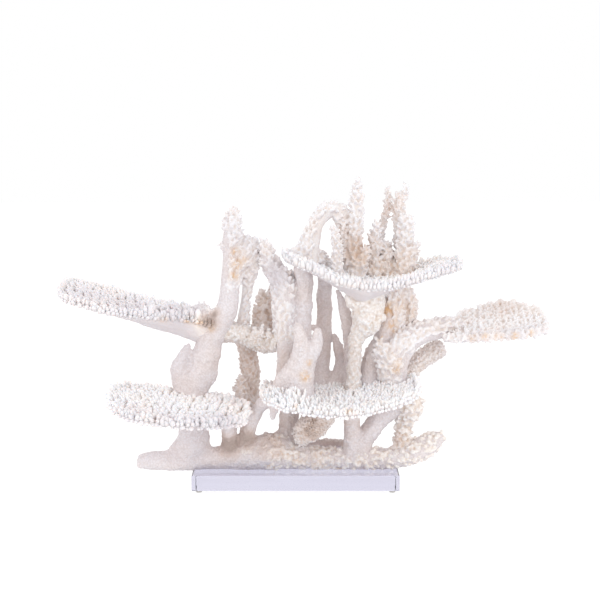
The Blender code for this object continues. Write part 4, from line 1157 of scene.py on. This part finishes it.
plate("upper_left_plate", [
    (-98, -8, 203, 13, 1.2), (-118, -8, 211, 21, 1.3), (-143, -10, 217, 28, 1.1), (-179, -12, 221, 35, 0.75),
    (-210, -14, 226.5, 44, 0.35), (-247, -15, 236, 49, 0.05), (-275, -15, 243.5, 45, 0)],
    tilt=7, dish=2, keel=19, branchlets=dict(width=2.6, length=8.0, gap=5.2, lean=0.2, tilt_x=-0.4,
                                             tall=[(-142, -26, 217, 16, 9), (-172, -34, 221, 14, 5)]),
    rows=[dict(width=2.6, length=9.0, gap=5.2, rise=1.8),
          dict(width=2.6, length=7.0, gap=5.2, rise=0.6, drop=1.5),
          dict(width=3.7, length=14.5, gap=8.2, rise=4.0, inset=2.5, front=(-200, -112))],
    bare=[(-98, -8, 12)])
plate("bowl_plate", [
    (-10, -25, 289, 20, 0), (-4, -25, 287, 26, 0.05), (22, -22, 276.5, 38, 0.12), (40, -19, 267.5, 45, 0.2),
    (60, -16, 260, 50, 0.45), (74, -13, 257, 53, 0.95), (83, -12, 255, 54, 1.15), (92, -12, 255, 54, 0.85),
    (104, -11, 255, 53, 0.45), (120, -10, 257, 52, 0.15), (155, -8, 266, 44, 0.1), (184, -6, 274, 33, 0),
    (198, -5, 277, 22, 0)],
    tilt=3, dish=5, keel=20, branchlets=dict(width=2.3, length=6.5, gap=4.9, lean=0.35),
    rows=[dict(width=2.6, length=9.5, gap=4.6, rise=3.0, inset=3.0),
          dict(width=2.7, length=9.0, gap=5.0, rise=2.2, drop=3.0),
          dict(width=2.2, length=4.0, gap=4.8, rise=-0.3, drop=3.2, inset=2.5)],
    bare=[(17, -4, 14), (52, -12, 8), (78, 6, 12), (102, 12, 10), (124, 20, 16), (136, 6, 12)])
plate("right_plate", [
    (186, -2, 193, 16, 1), (198, -3, 194.5, 31, 0.6), (220, -5, 197.5, 46, 0.3), (250, -5, 201, 55, 0.1),
    (280, -5, 203.5, 54, 0), (298, -5, 205, 43, 0)],
    tilt=11, dish=8, keel=6, branchlets=dict(width=1.9, length=7.0, gap=5.0, lean=0.5),
    rows=[dict(width=2.2, length=7.0, gap=5.0, rise=1.6),
          dict(width=2.9, length=5.5, gap=6.2, rise=0.5, drop=1.8, buds=True),
          dict(width=2.9, length=4.0, gap=6.6, rise=-0.2, drop=4.0)],
    bare=[(190, -3, 8)], voxel=1.2)

# %% [markdown]
# ## The stand
# The block is clear cast acrylic with polished faces.  Light bends in it, and the thickness of the
# material gives it a lavender cast.  The feet are small soft domes that the solids already carry.

# %% Stand
ACRYLIC_BENDING = 1.49
LAVENDER, DEEPER_LAVENDER = (0.75, 0.735, 0.855), (0.70, 0.685, 0.82)
GREY, PALE_GREY = (0.42, 0.40, 0.38), (0.55, 0.53, 0.50)


def clear_finish():
    """Clear plastic: full transmission, the bending of light of acrylic, and a lavender cast."""
    net = Finish("clear_acrylic")
    smudges = net.noise(14.0)
    net.feed(net.shader, {"Transmission Weight": 1.0, "IOR": ACRYLIC_BENDING,
                          "Base Color": net.mix(smudges, LAVENDER, DEEPER_LAVENDER),
                          "Roughness": net.span(smudges, 0.4, 0.75, 0.0, 0.05)})
    return net.material


def rubber_finish():
    """Soft clear-grey bumper: satin, with a fine mould grain."""
    net = Finish("soft_bumper")
    net.feed(net.shader, {"Base Color": net.mix(net.noise(900.0), GREY, PALE_GREY), "Roughness": 0.45})
    return net.material


stand = {"acrylic_block": clear_finish()}
bumper = rubber_finish()
stand.update({name: bumper for name in nodes if name.startswith("bumper_foot")})
for name, finish in stand.items():
    nodes[name].data.materials.clear()
    nodes[name].data.materials.append(finish)
print("stand:", *stand)

# %% [markdown]
# ## Closing
# The count of triangles of all the pieces is printed.

# %% Triangles
print("triangles", total_triangles)
